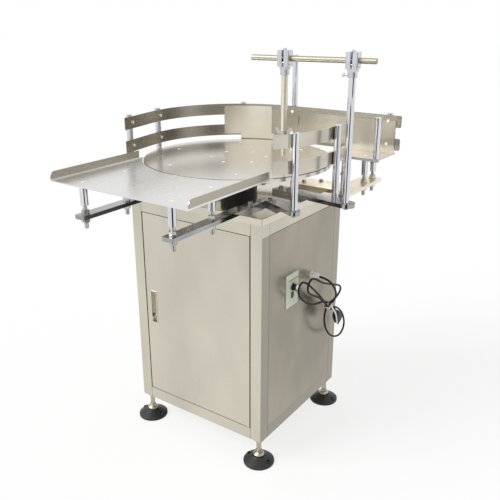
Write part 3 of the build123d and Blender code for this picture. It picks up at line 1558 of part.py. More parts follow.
thumb_rise = 7.0
thumb_r = 3.0
thumb_l = 12.0
thumb_head_r = 5.0
thumb_head_h = 6.0
thumb_plane = Plane(
    origin=(*clamp_post, collar_low + thumb_rise),
    x_dir=(0, 0, 1),
    z_dir=(-bar_dir[0], -bar_dir[1], 0),
)
post_clamp, post_pinch, post_lock = clamp(0)
with BuildPart(mode=Mode.PRIVATE) as thumb_bore:
    with BuildSketch(thumb_plane.offset(post_r)):
        Circle(thumb_r + run_gap)
    extrude(amount=clamp_collar_r)
post_clamp.part = post_clamp.part - thumb_bore.part
finish(post_clamp, "post_clamp", post_pinch, post_lock)
rod_clamp, rod_pinch, rod_lock = clamp(-clamp_span)
finish(rod_clamp, "rod_clamp", rod_pinch, rod_lock)

with BuildPart() as thumb_screw:
    with BuildSketch(thumb_plane.offset(post_r + seat_gap)):
        Circle(thumb_r)
    extrude(amount=thumb_l)
    with BuildSketch(thumb_plane.offset(post_r + seat_gap + thumb_l)):
        Circle(thumb_head_r)
        with PolarLocations(thumb_head_r, 12):
            Circle(0.6, mode=Mode.SUBTRACT)
    extrude(amount=thumb_head_h)
finish(thumb_screw, "thumb_screw")

# Guide rod hanging from the second clamp, with a thinner end for the bottle guide
rod_place = on_bar(-clamp_span)
rod_shoulder = table_z + 105.0
stub_r = 6.5
stub_low = table_z + 31.0
spigot_r = 6.0
spigot_top = rod_shoulder - 16.0
rod_drop = 0.5
with BuildPart() as guide_rod:
    with BuildSketch(Plane.XY.offset(rod_shoulder)):
        with Locations(rod_place):
            Circle(post_r)
    extrude(amount=rod_seat - rod_drop - rod_shoulder)
    with BuildSketch(Plane.XY.offset(spigot_top)):
        with Locations(rod_place):
            Circle(stub_r)
    extrude(amount=rod_shoulder - spigot_top)
    with BuildSketch(Plane.XY.offset(stub_low)):
        with Locations(rod_place):
            Circle(spigot_r)
    extrude(amount=spigot_top - stub_low)
    chamfer(guide_rod.edges().filter_by(GeomType.CIRCLE).group_by(Axis.Z)[0], 1)
finish(guide_rod, "guide_rod")

wing_h = 8.0
wing_boss_r = 10.0
wing_low = rod_shoulder - wing_h - 1
wing_plane = Plane(
    origin=(*rod_place, wing_low), x_dir=(*bar_dir, 0), z_dir=(-bar_side[0], -bar_side[1], 0)
)
with BuildPart() as wing_nut:
    with BuildSketch(wing_plane.offset(-1.5)):
        with BuildLine():
            Line((7, 0), (10, 0))
            Spline((10, 0), (20, 5), (26, 15))
            ThreePointArc((26, 15), (23, 18.5), (18.5, 16))
            Spline((18.5, 16), (14, 9), (11, wing_h))
            Polyline((11, wing_h), (7, wing_h), (7, 0))
        make_face()
        mirror(about=Plane.YZ)
    extrude(amount=3)
    with BuildSketch(Plane.XY.offset(wing_low)):
        with Locations(rod_place):
            Circle(wing_boss_r)
    extrude(amount=wing_h, taper=8)
    with BuildSketch(Plane.XY.offset(wing_low)):
        with Locations(rod_place):
            Circle(stub_r + run_gap)
    extrude(amount=wing_h, mode=Mode.SUBTRACT)
finish(wing_nut, "wing_nut")
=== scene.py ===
import math

import bpy
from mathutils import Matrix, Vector


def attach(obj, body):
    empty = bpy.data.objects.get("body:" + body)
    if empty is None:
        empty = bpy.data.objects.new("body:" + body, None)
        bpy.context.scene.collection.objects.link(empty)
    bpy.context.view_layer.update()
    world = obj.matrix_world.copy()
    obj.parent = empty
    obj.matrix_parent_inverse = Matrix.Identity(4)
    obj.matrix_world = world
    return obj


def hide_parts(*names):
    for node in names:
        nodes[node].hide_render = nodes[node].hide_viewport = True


# Rotary bottle collator: finishes, printed marks, mains lead, camera and light.
# Metres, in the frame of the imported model.

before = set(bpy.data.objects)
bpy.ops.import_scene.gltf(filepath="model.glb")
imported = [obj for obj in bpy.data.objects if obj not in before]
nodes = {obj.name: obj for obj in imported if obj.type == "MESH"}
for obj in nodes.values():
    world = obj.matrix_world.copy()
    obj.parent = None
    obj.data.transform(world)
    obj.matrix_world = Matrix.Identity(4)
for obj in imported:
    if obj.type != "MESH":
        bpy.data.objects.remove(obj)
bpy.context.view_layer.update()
mm = 0.001

# Sizes shared with the model
outer_x = 0.250
outer_y = 0.237
tube = 0.040
opening_high = 0.772
seat_gap = 0.0003
disc_r = 0.300
table_z = 0.931
plate_face = 0.252
plate_low = (-0.1041, 0.502)
plate_high = (-0.0331, 0.612)
pad_top = 0.024
knob_place = (-0.066, 0.566)
knob_cap_from = 0.0155
switch_place = (-0.069, 0.540)
cord_d = 0.0065
gland_base = 0.008


# Helpers for node trees

def add_node(tree, kind, **settings):
    """A node of a tree, with its properties set."""
    made = tree.nodes.new(kind)
    for name, value in settings.items():
        setattr(made, name, value)
    return made


def set_inputs(made, **values):
    """Plain numbers on a node's sockets, named with underscores for spaces."""
    for name, value in values.items():
        made.inputs[name.replace("_", " ")].default_value = value


def new_group(name, takes, gives):
    """An empty node group with named sockets: its tree, its input node and its output node."""
    group = bpy.data.node_groups.new(name, "ShaderNodeTree")
    for direction, sockets in (("INPUT", takes), ("OUTPUT", gives)):
        for socket, kind in sockets.items():
            group.interface.new_socket(socket, in_out=direction, socket_type="NodeSocket" + kind)
    return group, add_node(group, "NodeGroupInput"), add_node(group, "NodeGroupOutput")


def brushed_sheet_group():
    """Fine brushed lines and broad soft clouds, each from object coordinates times a stretch."""
    group, given, result = new_group(
        "brushed sheet",
        {"Vector": "Vector", "Line stretch": "Vector", "Cloud stretch": "Vector"},
        {"Lines": "Float", "Clouds": "Float"},
    )
    for stretch_name, detail, out in (("Line stretch", 3.0, "Lines"), ("Cloud stretch", 2.0, "Clouds")):
        stretch = add_node(group, "ShaderNodeVectorMath", operation="MULTIPLY")
        group.links.new(given.outputs["Vector"], stretch.inputs[0])
        group.links.new(given.outputs[stretch_name], stretch.inputs[1])
        noise = add_node(group, "ShaderNodeTexNoise")
        set_inputs(noise, Scale=1.0, Detail=detail, Roughness=0.55)
        group.links.new(stretch.outputs["Vector"], noise.inputs["Vector"])
        group.links.new(noise.outputs["Fac"], result.inputs[out])
    return group


def turned_rings_group():
    """Rings round the table's axis: the distance from the axis, and the height, as a place."""
    group, given, result = new_group("turned rings", {"Vector": "Vector"}, {"Vector": "Vector"})
    flat = add_node(group, "ShaderNodeVectorMath", operation="MULTIPLY")
    flat.inputs[1].default_value = (1, 1, 0)
    group.links.new(given.outputs["Vector"], flat.inputs[0])
    distance = add_node(group, "ShaderNodeVectorMath", operation="LENGTH")
    group.links.new(flat.outputs["Vector"], distance.inputs[0])
    place = add_node(group, "ShaderNodeCombineXYZ")
    group.links.new(distance.outputs["Value"], place.inputs["X"])
    height = add_node(group, "ShaderNodeSeparateXYZ")
    group.links.new(given.outputs["Vector"], height.inputs["Vector"])
    group.links.new(height.outputs["Z"], place.inputs["Z"])
    group.links.new(place.outputs["Vector"], result.inputs["Vector"])
    return group


def moulded_grain_group():
    """Fine speckle of a moulded, cast or painted face."""
    group, given, result = new_group(
        "moulded grain", {"Vector": "Vector", "Grain": "Float"}, {"Speckle": "Float"}
    )
    noise = add_node(group, "ShaderNodeTexNoise")
    set_inputs(noise, Detail=2.0, Roughness=0.5)
    group.links.new(given.outputs["Vector"], noise.inputs["Vector"])
    group.links.new(given.outputs["Grain"], noise.inputs["Scale"])
    group.links.new(noise.outputs["Fac"], result.inputs["Speckle"])
    return group


def parting_plane_group():
    """0 below and 1 above a plane across the piece, given by its direction and its distance."""
    group, given, result = new_group(
        "parting plane",
        {"Vector": "Vector", "Direction": "Vector", "Distance": "Float"},
        {"Mask": "Float"},
    )
    along = add_node(group, "ShaderNodeVectorMath", operation="DOT_PRODUCT")
    group.links.new(given.outputs["Vector"], along.inputs[0])
    group.links.new(given.outputs["Direction"], along.inputs[1])
    above = add_node(group, "ShaderNodeMath", operation="GREATER_THAN")
    group.links.new(along.outputs["Value"], above.inputs[0])
    group.links.new(given.outputs["Distance"], above.inputs[1])
    group.links.new(above.outputs["Value"], result.inputs["Mask"])
    return group


brushed_sheet = brushed_sheet_group()
turned_rings = turned_rings_group()
moulded_grain = moulded_grain_group()
parting_plane = parting_plane_group()


# Makers of materials

# a Mix node's sockets for colours, which share their names with others
mix_colour_a = 6
mix_colour_b = 7
mix_colour_out = 2
relief_depth = 0.0005
seam_w = 0.0012
seam_colour = (0.10, 0.09, 0.075)


def new_material(name):
    """An empty material, its tree, its shader and its object coordinates."""
    made = bpy.data.materials.new(name)
    made.use_nodes = True
    tree = made.node_tree
    place = add_node(tree, "ShaderNodeTexCoord").outputs["Object"]
    return made, tree, tree.nodes["Principled BSDF"], place


def link_range(tree, source, low, high, target, span=(0.3, 0.7)):
    """Lead a varying value to a socket, with span stretched to low and high."""
    level = add_node(tree, "ShaderNodeMapRange")
    set_inputs(level, From_Min=span[0], From_Max=span[1], To_Min=low, To_Max=high)
    tree.links.new(source, level.inputs["Value"])
    tree.links.new(level.outputs["Result"], target)


def link_bump(tree, source, shader, strength):
    """Relief from a varying height."""
    bump = add_node(tree, "ShaderNodeBump")
    set_inputs(bump, Strength=strength, Distance=relief_depth)
    tree.links.new(source, bump.inputs["Height"])
    tree.links.new(bump.outputs["Normal"], shader.inputs["Normal"])


def link_tones(tree, source, dark, light, target, span=(0.35, 0.65)):
    """Lead a varying value to a colour socket as a blend of two tones."""
    tones = add_node(tree, "ShaderNodeValToRGB")
    for element, position, colour in zip(tones.color_ramp.elements, span, (dark, light)):
        element.position = position
        element.color = (*colour, 1)
    tree.links.new(source, tones.inputs["Fac"])
    tree.links.new(tones.outputs["Color"], target)


def shaded(colour, factor):
    """A colour made darker or lighter."""
    return tuple(min(1.0, part * factor) for part in colour)


def lay_over(tree, mask, colour, shader):
    """Another colour over the base colour where a mask is 1."""
    over = add_node(tree, "ShaderNodeMix", data_type="RGBA")
    base = shader.inputs["Base Color"]
    tree.links.new(mask, over.inputs["Factor"])
    tree.links.new(base.links[0].from_socket, over.inputs[mix_colour_a])
    over.inputs[mix_colour_b].default_value = (*colour, 1)
    tree.links.new(over.outputs[mix_colour_out], base)


def beyond_mask(tree, place, direction, distance):
    """1 on the far side of a plane."""
    part = add_node(tree, "ShaderNodeGroup", node_tree=parting_plane)
    part.inputs["Direction"].default_value = direction
    set_inputs(part, Distance=distance)
    tree.links.new(place, part.inputs["Vector"])
    return part.outputs["Mask"]


def seam_mask(tree, place, joint_x, joint_y):
    """1 in fine lines where a tube meets the next one or a sheet, at both signs of x and of y."""
    axes = add_node(tree, "ShaderNodeSeparateXYZ")
    tree.links.new(place, axes.inputs["Vector"])
    either = add_node(tree, "ShaderNodeMath", operation="MAXIMUM")
    for axis, joint, socket in (("X", joint_x, either.inputs[0]), ("Y", joint_y, either.inputs[1])):
        apart = add_node(tree, "ShaderNodeMath", operation="ABSOLUTE")
        tree.links.new(axes.outputs[axis], apart.inputs[0])
        near = add_node(tree, "ShaderNodeMath", operation="COMPARE")
        near.inputs[1].default_value = joint
        near.inputs[2].default_value = seam_w / 2
        tree.links.new(apart.outputs["Value"], near.inputs[0])
        tree.links.new(near.outputs["Value"], socket)
    return either.outputs["Value"]


def steel(
    name, colour, rough, lines, clouds=(4, 4, 1.5), variation=0.07, relief=0.03, turned=False,
    beyond=None, seams=None,
):
    """Stainless steel: cloudy tone, roughness and relief from brushed or turned lines.

    beyond is (direction, distance, colour): a plane, and the colour on its far side.
    seams is (x, y): where dark seams run across the piece, on both sides of the middle.
    """
    made, tree, shader, place = new_material(name)
    if turned:
        rings = add_node(tree, "ShaderNodeGroup", node_tree=turned_rings)
        tree.links.new(place, rings.inputs["Vector"])
        place = rings.outputs["Vector"]
    brushed = add_node(tree, "ShaderNodeGroup", node_tree=brushed_sheet)
    brushed.inputs["Line stretch"].default_value = lines
    brushed.inputs["Cloud stretch"].default_value = clouds
    tree.links.new(place, brushed.inputs["Vector"])
    link_tones(
        tree,
        brushed.outputs["Clouds"],
        shaded(colour, 1 - variation),
        shaded(colour, 1 + variation),
        shader.inputs["Base Color"],
    )
    link_range(tree, brushed.outputs["Lines"], rough - 0.05, rough + 0.05, shader.inputs["Roughness"])
    link_bump(tree, brushed.outputs["Lines"], shader, relief)
    if beyond:
        direction, distance, far_colour = beyond
        lay_over(tree, beyond_mask(tree, place, direction, distance), far_colour, shader)
    if seams:
        lay_over(tree, seam_mask(tree, place, *seams), seam_colour, shader)
    set_inputs(shader, Metallic=1.0)
    return made


def moulded(name, colour, rough, relief=0.05, grain=900.0, metal=0.0):
    """Moulded plastic, rubber, cast metal or paint with a fine grain."""
    made, tree, shader, place = new_material(name)
    speckle = add_node(tree, "ShaderNodeGroup", node_tree=moulded_grain)
    set_inputs(speckle, Grain=grain)
    tree.links.new(place, speckle.inputs["Vector"])
    fleck = speckle.outputs["Speckle"]
    link_tones(tree, fleck, shaded(colour, 0.88), shaded(colour, 1.12), shader.inputs["Base Color"])
    link_range(tree, fleck, rough - 0.05, rough + 0.05, shader.inputs["Roughness"])
    link_bump(tree, fleck, shader, relief)
    set_inputs(shader, Metallic=metal)
    return made


def two_part(name, direction, distance, below, above):
    """Two finishes parted by a plane; below and above are (colour, metallic, roughness)."""
    made, tree, shader, place = new_material(name)
    mask = beyond_mask(tree, place, direction, distance)
    link_tones(tree, mask, below[0], above[0], shader.inputs["Base Color"], (0.4, 0.6))
    link_range(tree, mask, below[1], above[1], shader.inputs["Metallic"], (0, 1))
    link_range(tree, mask, below[2], above[2], shader.inputs["Roughness"], (0, 1))
    speckle = add_node(tree, "ShaderNodeGroup", node_tree=moulded_grain)
    set_inputs(speckle, Grain=700.0)
    tree.links.new(place, speckle.inputs["Vector"])
    link_bump(tree, speckle.outputs["Speckle"], shader, 0.06)
    return made


# Finishes
grain_up = (700, 700, 5)
grain_along_x = (5, 700, 700)
grain_along_y = (700, 5, 700)
grain_round = (4, 4, 900)
ring_lines = (800, 1, 1)

# Where a finish has a second tone: the dark line along the right panel's top edge, the seams beside
# a tube's edge, the disc's lip painted dark as painted shadow of its gap to the tray, the foot of the
# tray's rim, above which the rim is painted darker as painted shade, and the top of a foot's pad
dark_line = 0.0015
seam_off = 0.0008
gap_shadow_width = 0.0025
rim_shade_foot = 0.003
pad_lift = 0.0002

door_steel = steel("brushed door sheet", (0.60, 0.565, 0.475), 0.30, grain_up, (4, 4, 2), 0.07)
# the right panel: the door's steel painted darker, as painted shade on the cabinet's right side
shaded_side_steel = steel(
    "brushed side sheet in painted shade", (0.37, 0.34, 0.275), 0.30, grain_up, (5, 5, 3), 0.12,
    beyond=((0, 0, 1), opening_high - seat_gap - dark_line, (0.05, 0.045, 0.04)),
)
# a plane that leans a little, so that the posts' right faces lie beyond it and the top rail doesn't;
# beyond it the tube is painted darker, as painted shade on the right faces
lean = 0.003
frame_steel_shaded_right = steel(
    "brushed square tube with painted shade on its right faces", (0.60, 0.57, 0.47), 0.24, grain_up,
    beyond=((1, 0, -lean), outer_x - lean * opening_high, (0.35, 0.325, 0.265)),
    seams=(outer_x - tube + seam_off, outer_y - tube + seam_off),
)
top_steel = steel("top sheet", (0.62, 0.58, 0.49), 0.10, grain_along_x, (3, 3, 3))
# the disc's outer lip is painted near black, as painted shadow of the gap between disc and tray
table_steel_gap_shadow = steel(
    "spun disc with painted gap shadow on its lip", (0.68, 0.65, 0.58), 0.20, ring_lines, (6, 1, 1), 0.03, 0.03, turned=True,
    beyond=((1, 0, 1), disc_r - gap_shadow_width + table_z, (0.20, 0.19, 0.17)),
)
# the tray's rim above its foot is painted darker, as painted shade on the upstand's faces
tray_steel_shaded_rim = steel(
    "tray sheet with painted shade on its rim", (0.76, 0.76, 0.745), 0.26, grain_along_y, (3, 3, 3), 0.05, 0.012,
    beyond=((0, 0, 1), table_z + rim_shade_foot, (0.43, 0.40, 0.33)),
)
outfeed_steel = steel("outfeed sheet", (0.60, 0.58, 0.54), 0.40, grain_along_y, (6, 6, 6))
rear_rail_steel = steel("rear rail band", (0.38, 0.355, 0.31), 0.26, grain_round, (5, 5, 20))
rail_steel = steel("right rail band", (0.58, 0.545, 0.47), 0.22, grain_round, (5, 5, 20), 0.10)
curved_steel = steel("curved guide sheet", (0.78, 0.73, 0.63), 0.22, grain_round, (5, 5, 2), 0.08)
straight_steel = steel("straight guide sheet", (0.46, 0.43, 0.36), 0.22, grain_up, (9, 9, 2), 0.15)
bar_steel = steel("ground bar", (0.40, 0.375, 0.30), 0.45, (9, 9, 9), (6, 6, 6), 0.04, 0.0)
rod_steel = steel("turned rod", (0.74, 0.69, 0.58), 0.36, (9, 9, 300), (6, 6, 6), 0.04, 0.0)
clamp_steel = steel("plated clamp", (0.60, 0.61, 0.64), 0.22, (90, 90, 90), (20, 20, 20), 0.08, 0.0)
arm_steel = steel("polished arm", (0.36, 0.365, 0.37), 0.12, (30, 30, 400), (10, 10, 10), 0.1)
bracket_steel = steel("outfeed bracket", (0.86, 0.77, 0.62), 0.30, (30, 30, 400), (10, 10, 10), 0.05)
chrome = steel("chrome plate", (0.68, 0.69, 0.72), 0.06, (20, 20, 20), (8, 8, 3), 0.05, 0.0)
fastener = steel("bright fastener", (0.50, 0.49, 0.47), 0.22, (300, 300, 300), (60, 60, 60), 0.2)
foot_nut = steel("plated foot nut", (0.44, 0.40, 0.32), 0.28, (300, 300, 300), (60, 60, 60), 0.15)
screw_head = steel("sunk screw head", (0.95, 0.94, 0.91), 0.5, (300, 300, 300), (60, 60, 60), 0.05)
cast_metal = moulded("cast aluminium", (0.42, 0.43, 0.44), 0.5, 0.3, 700, 0.7)
black_paint = moulded("black powder coat", (0.018, 0.018, 0.020), 0.38, 0.25, 1500)
black_plastic = moulded("black moulding", (0.016, 0.016, 0.017), 0.42, 0.12, 1200)
cord_rubber = moulded("lead sheath", (0.008, 0.008, 0.009), 0.5, 0.05, 800)
set_inputs(cord_rubber.node_tree.nodes["Principled BSDF"], Specular_IOR_Level=0.25)
strap_plastic = moulded("white strap", (0.82, 0.82, 0.80), 0.45, 0.05, 900)
amber_plastic = moulded("amber moulding", (0.46, 0.15, 0.05), 0.25, 0.03, 900)
green_paint = moulded("pale green plate", (0.60, 0.68, 0.52), 0.42, 0.05, 900)
red_ink = moulded("red ink", (0.55, 0.06, 0.04), 0.5, 0.02, 900)
black_ink = moulded("black ink", (0.03, 0.03, 0.03), 0.5, 0.02, 900)
grey_paint = moulded("grey primer", (0.20, 0.21, 0.22), 0.5, 0.1, 900)

matt_black = ((0.014, 0.014, 0.015), 0.0, 0.45)
bright = ((0.75, 0.75, 0.74), 1.0, 0.16)
stem_zinc = ((0.46, 0.42, 0.34), 1.0, 0.28)
foot_finish = two_part("foot pad and stem", (0, 0, 1), pad_top + pad_lift, matt_black, stem_zinc)
knob_finish = two_part("knob and cap", (1, 0, 0), plate_face + knob_cap_from, matt_black, bright)
gland_brass = ((0.74, 0.68, 0.56), 1.0, 0.3)
gland_plastic = ((0.92, 0.92, 0.90), 0.0, 0.45)
gland_finish = two_part("gland", (1, 0, 0), outer_x + gland_base, gland_brass, gland_plastic)

finishes = {
    door_steel: ["front_door", "left_panel", "rear_panel", "floor_plate"],
    shaded_side_steel: ["right_panel"],
    frame_steel_shaded_right: ["cabinet_frame", "door_pull"],
    top_steel: ["top_plate"],
    table_steel_gap_shadow: ["turntable_disc", "hub_flange", "disc_stiffener_ring"],
    tray_steel_shaded_rim: ["loading_tray"],
    outfeed_steel: ["outfeed_plate"],
    rear_rail_steel: ["rear_rails"],
    rail_steel: ["right_rails"],
    curved_steel: ["curved_guide_sheet"],
    straight_steel: ["outfeed_guide_sheet"],
    bar_steel: ["cross_bar", "spindle", "output_shaft"],
    rod_steel: ["guide_rod"],
    arm_steel: ["support_arms"],
    bracket_steel: ["outfeed_bracket"],
    chrome: ["rail_posts", "tall_posts", "plate_sleeves"],
    clamp_steel: ["post_clamp", "rod_clamp"],
    fastener: [
        "arm_bolts", "plate_studs", "drive_bolts", "wing_nut",
        "door_hinge_pins", "latch_barrel", "spindle_bearings",
        "thumb_screw", "shaft_coupling",
    ],
    screw_head: ["plate_screws", "disc_screws", "rail_screws"],
    foot_nut: ["foot_inserts_and_nuts"],
    foot_finish: [name for name in nodes if name.startswith("levelling_foot")],
    black_paint: ["bearing_housing"],
    grey_paint: ["drive_plate", "drive_standoffs"],
    cast_metal: ["gearbox_case", "drive_motor"],
    black_plastic: ["power_rocker", "controller_case", "mains_plug"],
    cord_rubber: ["power_cord", "cord_hank"],
    strap_plastic: ["cord_tie"],
    knob_finish: ["speed_knob"],
    gland_finish: ["cable_gland"],
    amber_plastic: ["switch_bezel"],
    green_paint: ["control_plate"],
}
for finish, names in finishes.items():
    for name in names:
        mesh = nodes[name].data
        mesh.materials.clear()
        mesh.materials.append(finish)


# Helpers for new pieces

def deselect():
    """Nothing selected, so that an operator takes only the piece in hand."""
    bpy.ops.object.select_all(action="DESELECT")


def place_in_mesh(piece):
    """Bring a piece's object to the origin, unturned and unscaled, with its place in its mesh."""
    deselect()
    piece.select_set(True)
    bpy.context.view_layer.objects.active = piece
    bpy.ops.object.transform_apply(location=True, rotation=True, scale=True)


def apply_modifiers(piece):
    """A piece's modifiers made part of its mesh, from the first to the last."""
    bpy.context.view_layer.objects.active = piece
    for modifier in list(piece.modifiers):
        bpy.ops.object.modifier_apply(modifier=modifier.name)


def join_pieces(pieces, name, finish):
    """One finished piece from several meshes, riding on the cabinet."""
    deselect()
    for piece in pieces:
        piece.select_set(True)
    whole = pieces[0]
    bpy.context.view_layer.objects.active = whole
    if len(pieces) > 1:
        bpy.ops.object.join()
    whole.name = name
    whole.data.name = name
    whole.data.materials.clear()
    whole.data.materials.append(finish)
    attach(whole, "cabinet")
    return whole


# Printed marks of the control plate

ink_lift = 0.00005
ink_t = 0.0002
facing_right = (math.radians(90), 0, math.radians(90))
capital_share = 0.72
dial_steps = 10
dial_start = 240
dial_sweep = 300
tick_r = 0.0140
tick_long = 0.0032
tick_wide = 0.0006
number_r = 0.0186
number_high = 0.0036
switch_mark_high = 0.005
switch_mark_y = switch_place[0] + 0.013
switch_on_z = switch_place[1] + 0.005
switch_off_z = switch_place[1] - 0.006
red_line_long = 0.054
red_line_wide = 0.0028
red_line_shift = 0.006
red_line_drop = 0.0215


def printed_text(body, centre, height):
    """Flat lettering on the control plate, centred on (y, z)."""
    deselect()
    bpy.ops.object.text_add(location=(plate_face + ink_lift, *centre), rotation=facing_right)
    text = bpy.context.object
    text.data.body = body
    text.data.size = height / capital_share
    text.data.align_x = "CENTER"
    text.data.align_y = "CENTER"
    text.data.extrude = ink_t
    text.data.resolution_u = 3
    bpy.ops.object.convert(target="MESH")
    place_in_mesh(bpy.context.object)
    return bpy.context.object


def printed_bar(centre, long, wide, turn):
    """A printed bar on the control plate, turned in its plane."""
    deselect()
    bpy.ops.mesh.primitive_plane_add(size=1, location=(plate_face + ink_lift, *centre))
    bar = bpy.context.object
    bar.rotation_euler = (turn, 0, 0)
    bar.scale = (1, long, wide)
    # a plane lies flat, so its corners are stood up in the plane of the plate first
    for corner in bar.data.vertices:
        corner.co = (0, corner.co.x, corner.co.y)
    bpy.ops.object.mode_set(mode="EDIT")
    bpy.ops.mesh.select_all(action="SELECT")
    bpy.ops.mesh.extrude_region_move(TRANSFORM_OT_translate={"value": (ink_t, 0, 0)})
    bpy.ops.mesh.select_all(action="SELECT")
    bpy.ops.mesh.normals_make_consistent(inside=False)
    bpy.ops.object.mode_set(mode="OBJECT")
    place_in_mesh(bar)
    return bar


def dial_marks():
    """Ticks and the even numbers up to 10 round the knob, and the two marks of the switch."""
    marks = []
    knob = Vector(knob_place)
    for step in range(dial_steps + 1):
        angle = math.radians(dial_start - dial_sweep * step / dial_steps)
        out = Vector((math.cos(angle), math.sin(angle)))
        marks.append(printed_bar(knob + out * tick_r, tick_long, tick_wide, angle))
        if step % 2 == 0:
            marks.append(printed_text(str(step), knob + out * number_r, number_high))
    marks.append(printed_text("I", (switch_mark_y, switch_on_z), switch_mark_high))
    marks.append(printed_text("O", (switch_mark_y, switch_off_z), switch_mark_high))
    return join_pieces(marks, "dial_marks", black_ink)


dial_marks()
plate_middle = (plate_low[0] + plate_high[0]) / 2
line_middle = (plate_middle + red_line_shift, plate_high[1] - red_line_drop)
red_line = printed_bar(line_middle, red_line_long, red_line_wide, 0)
join_pieces([red_line], "plate_line", red_ink)


# Mains lead: out of the gland, down into the tied hank, round its loops and to the plug

# the hank's three layers, and the route's points, in mm
back_x = 286.6
rear_x = 279.8
front_x = 293.4
lead_route = [
    (258, 38, 573),
    (312, 38, 573),
    (332, 52, 548),
    (333, 77, 508),
    (315, 95, 472),
    (292, 104, 452),
    # lower loop, in the back layer
    (back_x, 127, 432),
    (back_x, 153, 421),
    (back_x, 182, 406),
    (back_x, 210, 382),
    (back_x, 232, 352),
    (back_x, 241, 322),
    (back_x, 230, 298),
    (back_x, 203, 290),
    (back_x, 167, 300),
    (back_x, 132, 322),
    (back_x, 105, 351),
    (back_x, 89, 384),
    (back_x, 84, 411),
    # up through the strap and round the left loop
    (back_x, 95, 434),
    (back_x, 96, 459),
    (back_x, 73, 473),
    (back_x, 40, 477),
    (back_x, 5, 486),
    (back_x, -32, 504),
    (back_x, -62, 527),
    (back_x, -87, 550),
    (back_x, -93, 577),
    (back_x, -70, 592),
    (back_x, -40, 577),
    (back_x, -4, 547),
    (back_x - 1, 30, 518),
    (back_x - 4, 62, 491),
    # behind the neck and over the right loop
    (rear_x, 88, 467),
    (rear_x, 113, 450),
    (rear_x, 142, 442),
    (back_x - 4, 170, 446),
    (back_x, 190, 461),
    (back_x + 4, 191, 482),
    (front_x, 166, 499),
    (front_x, 132, 513),
    (front_x, 98, 527),
    # small left loop, in the front layer
    (front_x, 64, 541),
    (front_x, 32, 559),
    (front_x, 3, 578),
    (front_x, -25, 588),
    (front_x, -47, 571),
    (front_x, -42, 545),
    (front_x, -10, 526),
    (front_x, 28, 506),
    (front_x, 58, 481),
    # down through the strap into the plug's boot
    (295, 80, 459),
    (297, 97, 443),
    (299.5, 110, 433),
    (301, 120, 428),
    (301, 132, 418.5),
]


def mains_lead():
    """The whole lead as one smooth line with a round section."""
    curve = bpy.data.curves.new("mains_lead", "CURVE")
    curve.dimensions = "3D"
    line = curve.splines.new("NURBS")
    line.points.add(len(lead_route) - 1)
    for point, place in zip(line.points, lead_route):
        point.co = (*[value * mm for value in place], 1)
    line.order_u = 3
    line.use_endpoint_u = True
    line.resolution_u = 10
    curve.bevel_depth = cord_d / 2
    curve.bevel_resolution = 4
    curve.use_fill_caps = True
    curve.materials.append(cord_rubber)
    lead = bpy.data.objects.new("mains_lead", curve)
    bpy.context.scene.collection.objects.link(lead)
    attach(lead, "cabinet")
    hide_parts("power_cord", "cord_hank")
    return lead


# White strap round the neck of the hank, with its head and its free tail

strap_w = 0.006
strap_t = 0.0012
head_out = 0.0137
head_shift = 0.0010
head_size = (0.0042, 0.0070, 0.0082)
head_round = 0.0009
strap_turn = math.radians(30)
strap_centre = Vector((0.2884, 0.102, 0.448))
across_strands = Vector((0, math.cos(strap_turn), math.sin(strap_turn)))
# the four strands where the strap crosses them, from its centre, along X and across
strands = [(0.0050, 0.0055), (-0.0018, -0.0077), (-0.0086, 0.0095), (0.0086, -0.0072)]
strand_r = 0.0042


def wall_and_seal(strip):
    """A thin strip's thickness, with its faces turned outwards."""
    wall = strip.modifiers.new("wall", "SOLIDIFY")
    wall.thickness = strap_t
    wall.offset = 0
    apply_modifiers(strip)
    bpy.ops.object.mode_set(mode="EDIT")
    bpy.ops.mesh.select_all(action="SELECT")
    bpy.ops.mesh.normals_make_consistent(inside=False)
    bpy.ops.object.mode_set(mode="OBJECT")
    bpy.ops.object.shade_smooth_by_angle(angle=math.radians(40))


def strap_band():
    """The closed band, drawn round the four strands."""
    deselect()
    bpy.ops.mesh.primitive_circle_add(vertices=64, radius=1)
    band = bpy.context.object
    for corner in band.data.vertices:
        out = corner.co.xy.normalized()
        nearest = max(strands, key=out.dot)
        corner.co = (*(Vector(nearest) + out * strand_r), -strap_w / 2)
    bpy.ops.object.mode_set(mode="EDIT")
    bpy.ops.mesh.select_all(action="SELECT")
    bpy.ops.mesh.extrude_region_move(TRANSFORM_OT_translate={"value": (0, 0, strap_w)})
    bpy.ops.object.mode_set(mode="OBJECT")
    band.location = strap_centre
    band.rotation_euler = (strap_turn, 0, 0)
    place_in_mesh(band)
    wall_and_seal(band)
    return band


def strap_head():
    """The lock of the strap, a small block rounded along its edges."""
    deselect()
    place = strap_centre + across_strands * head_shift + Vector((head_out, 0, 0))
    bpy.ops.mesh.primitive_cube_add(size=1, location=place, rotation=(strap_turn, 0, 0))
    head = bpy.context.object
    head.scale = head_size
    place_in_mesh(head)
    bpy.ops.object.mode_set(mode="EDIT")
    bpy.ops.mesh.select_all(action="SELECT")
    bpy.ops.mesh.bevel(offset=head_round, segments=3)
    bpy.ops.object.mode_set(mode="OBJECT")
    return head


# the tail's middle line from the head down over the plug, in mm
tail_stations = [
    (302.5, 104.5, 446.0),
    (305.5, 107.0, 438.0),
    (309.0, 109.5, 431.0),
    (312.5, 112.5, 423.0),
    (314.5, 116.0, 414.0),
    (315.0, 119.0, 404.0),
    (315.0, 122.0, 394.0),
    (315.0, 125.0, 384.0),
    (315.0, 127.5, 374.0),
]


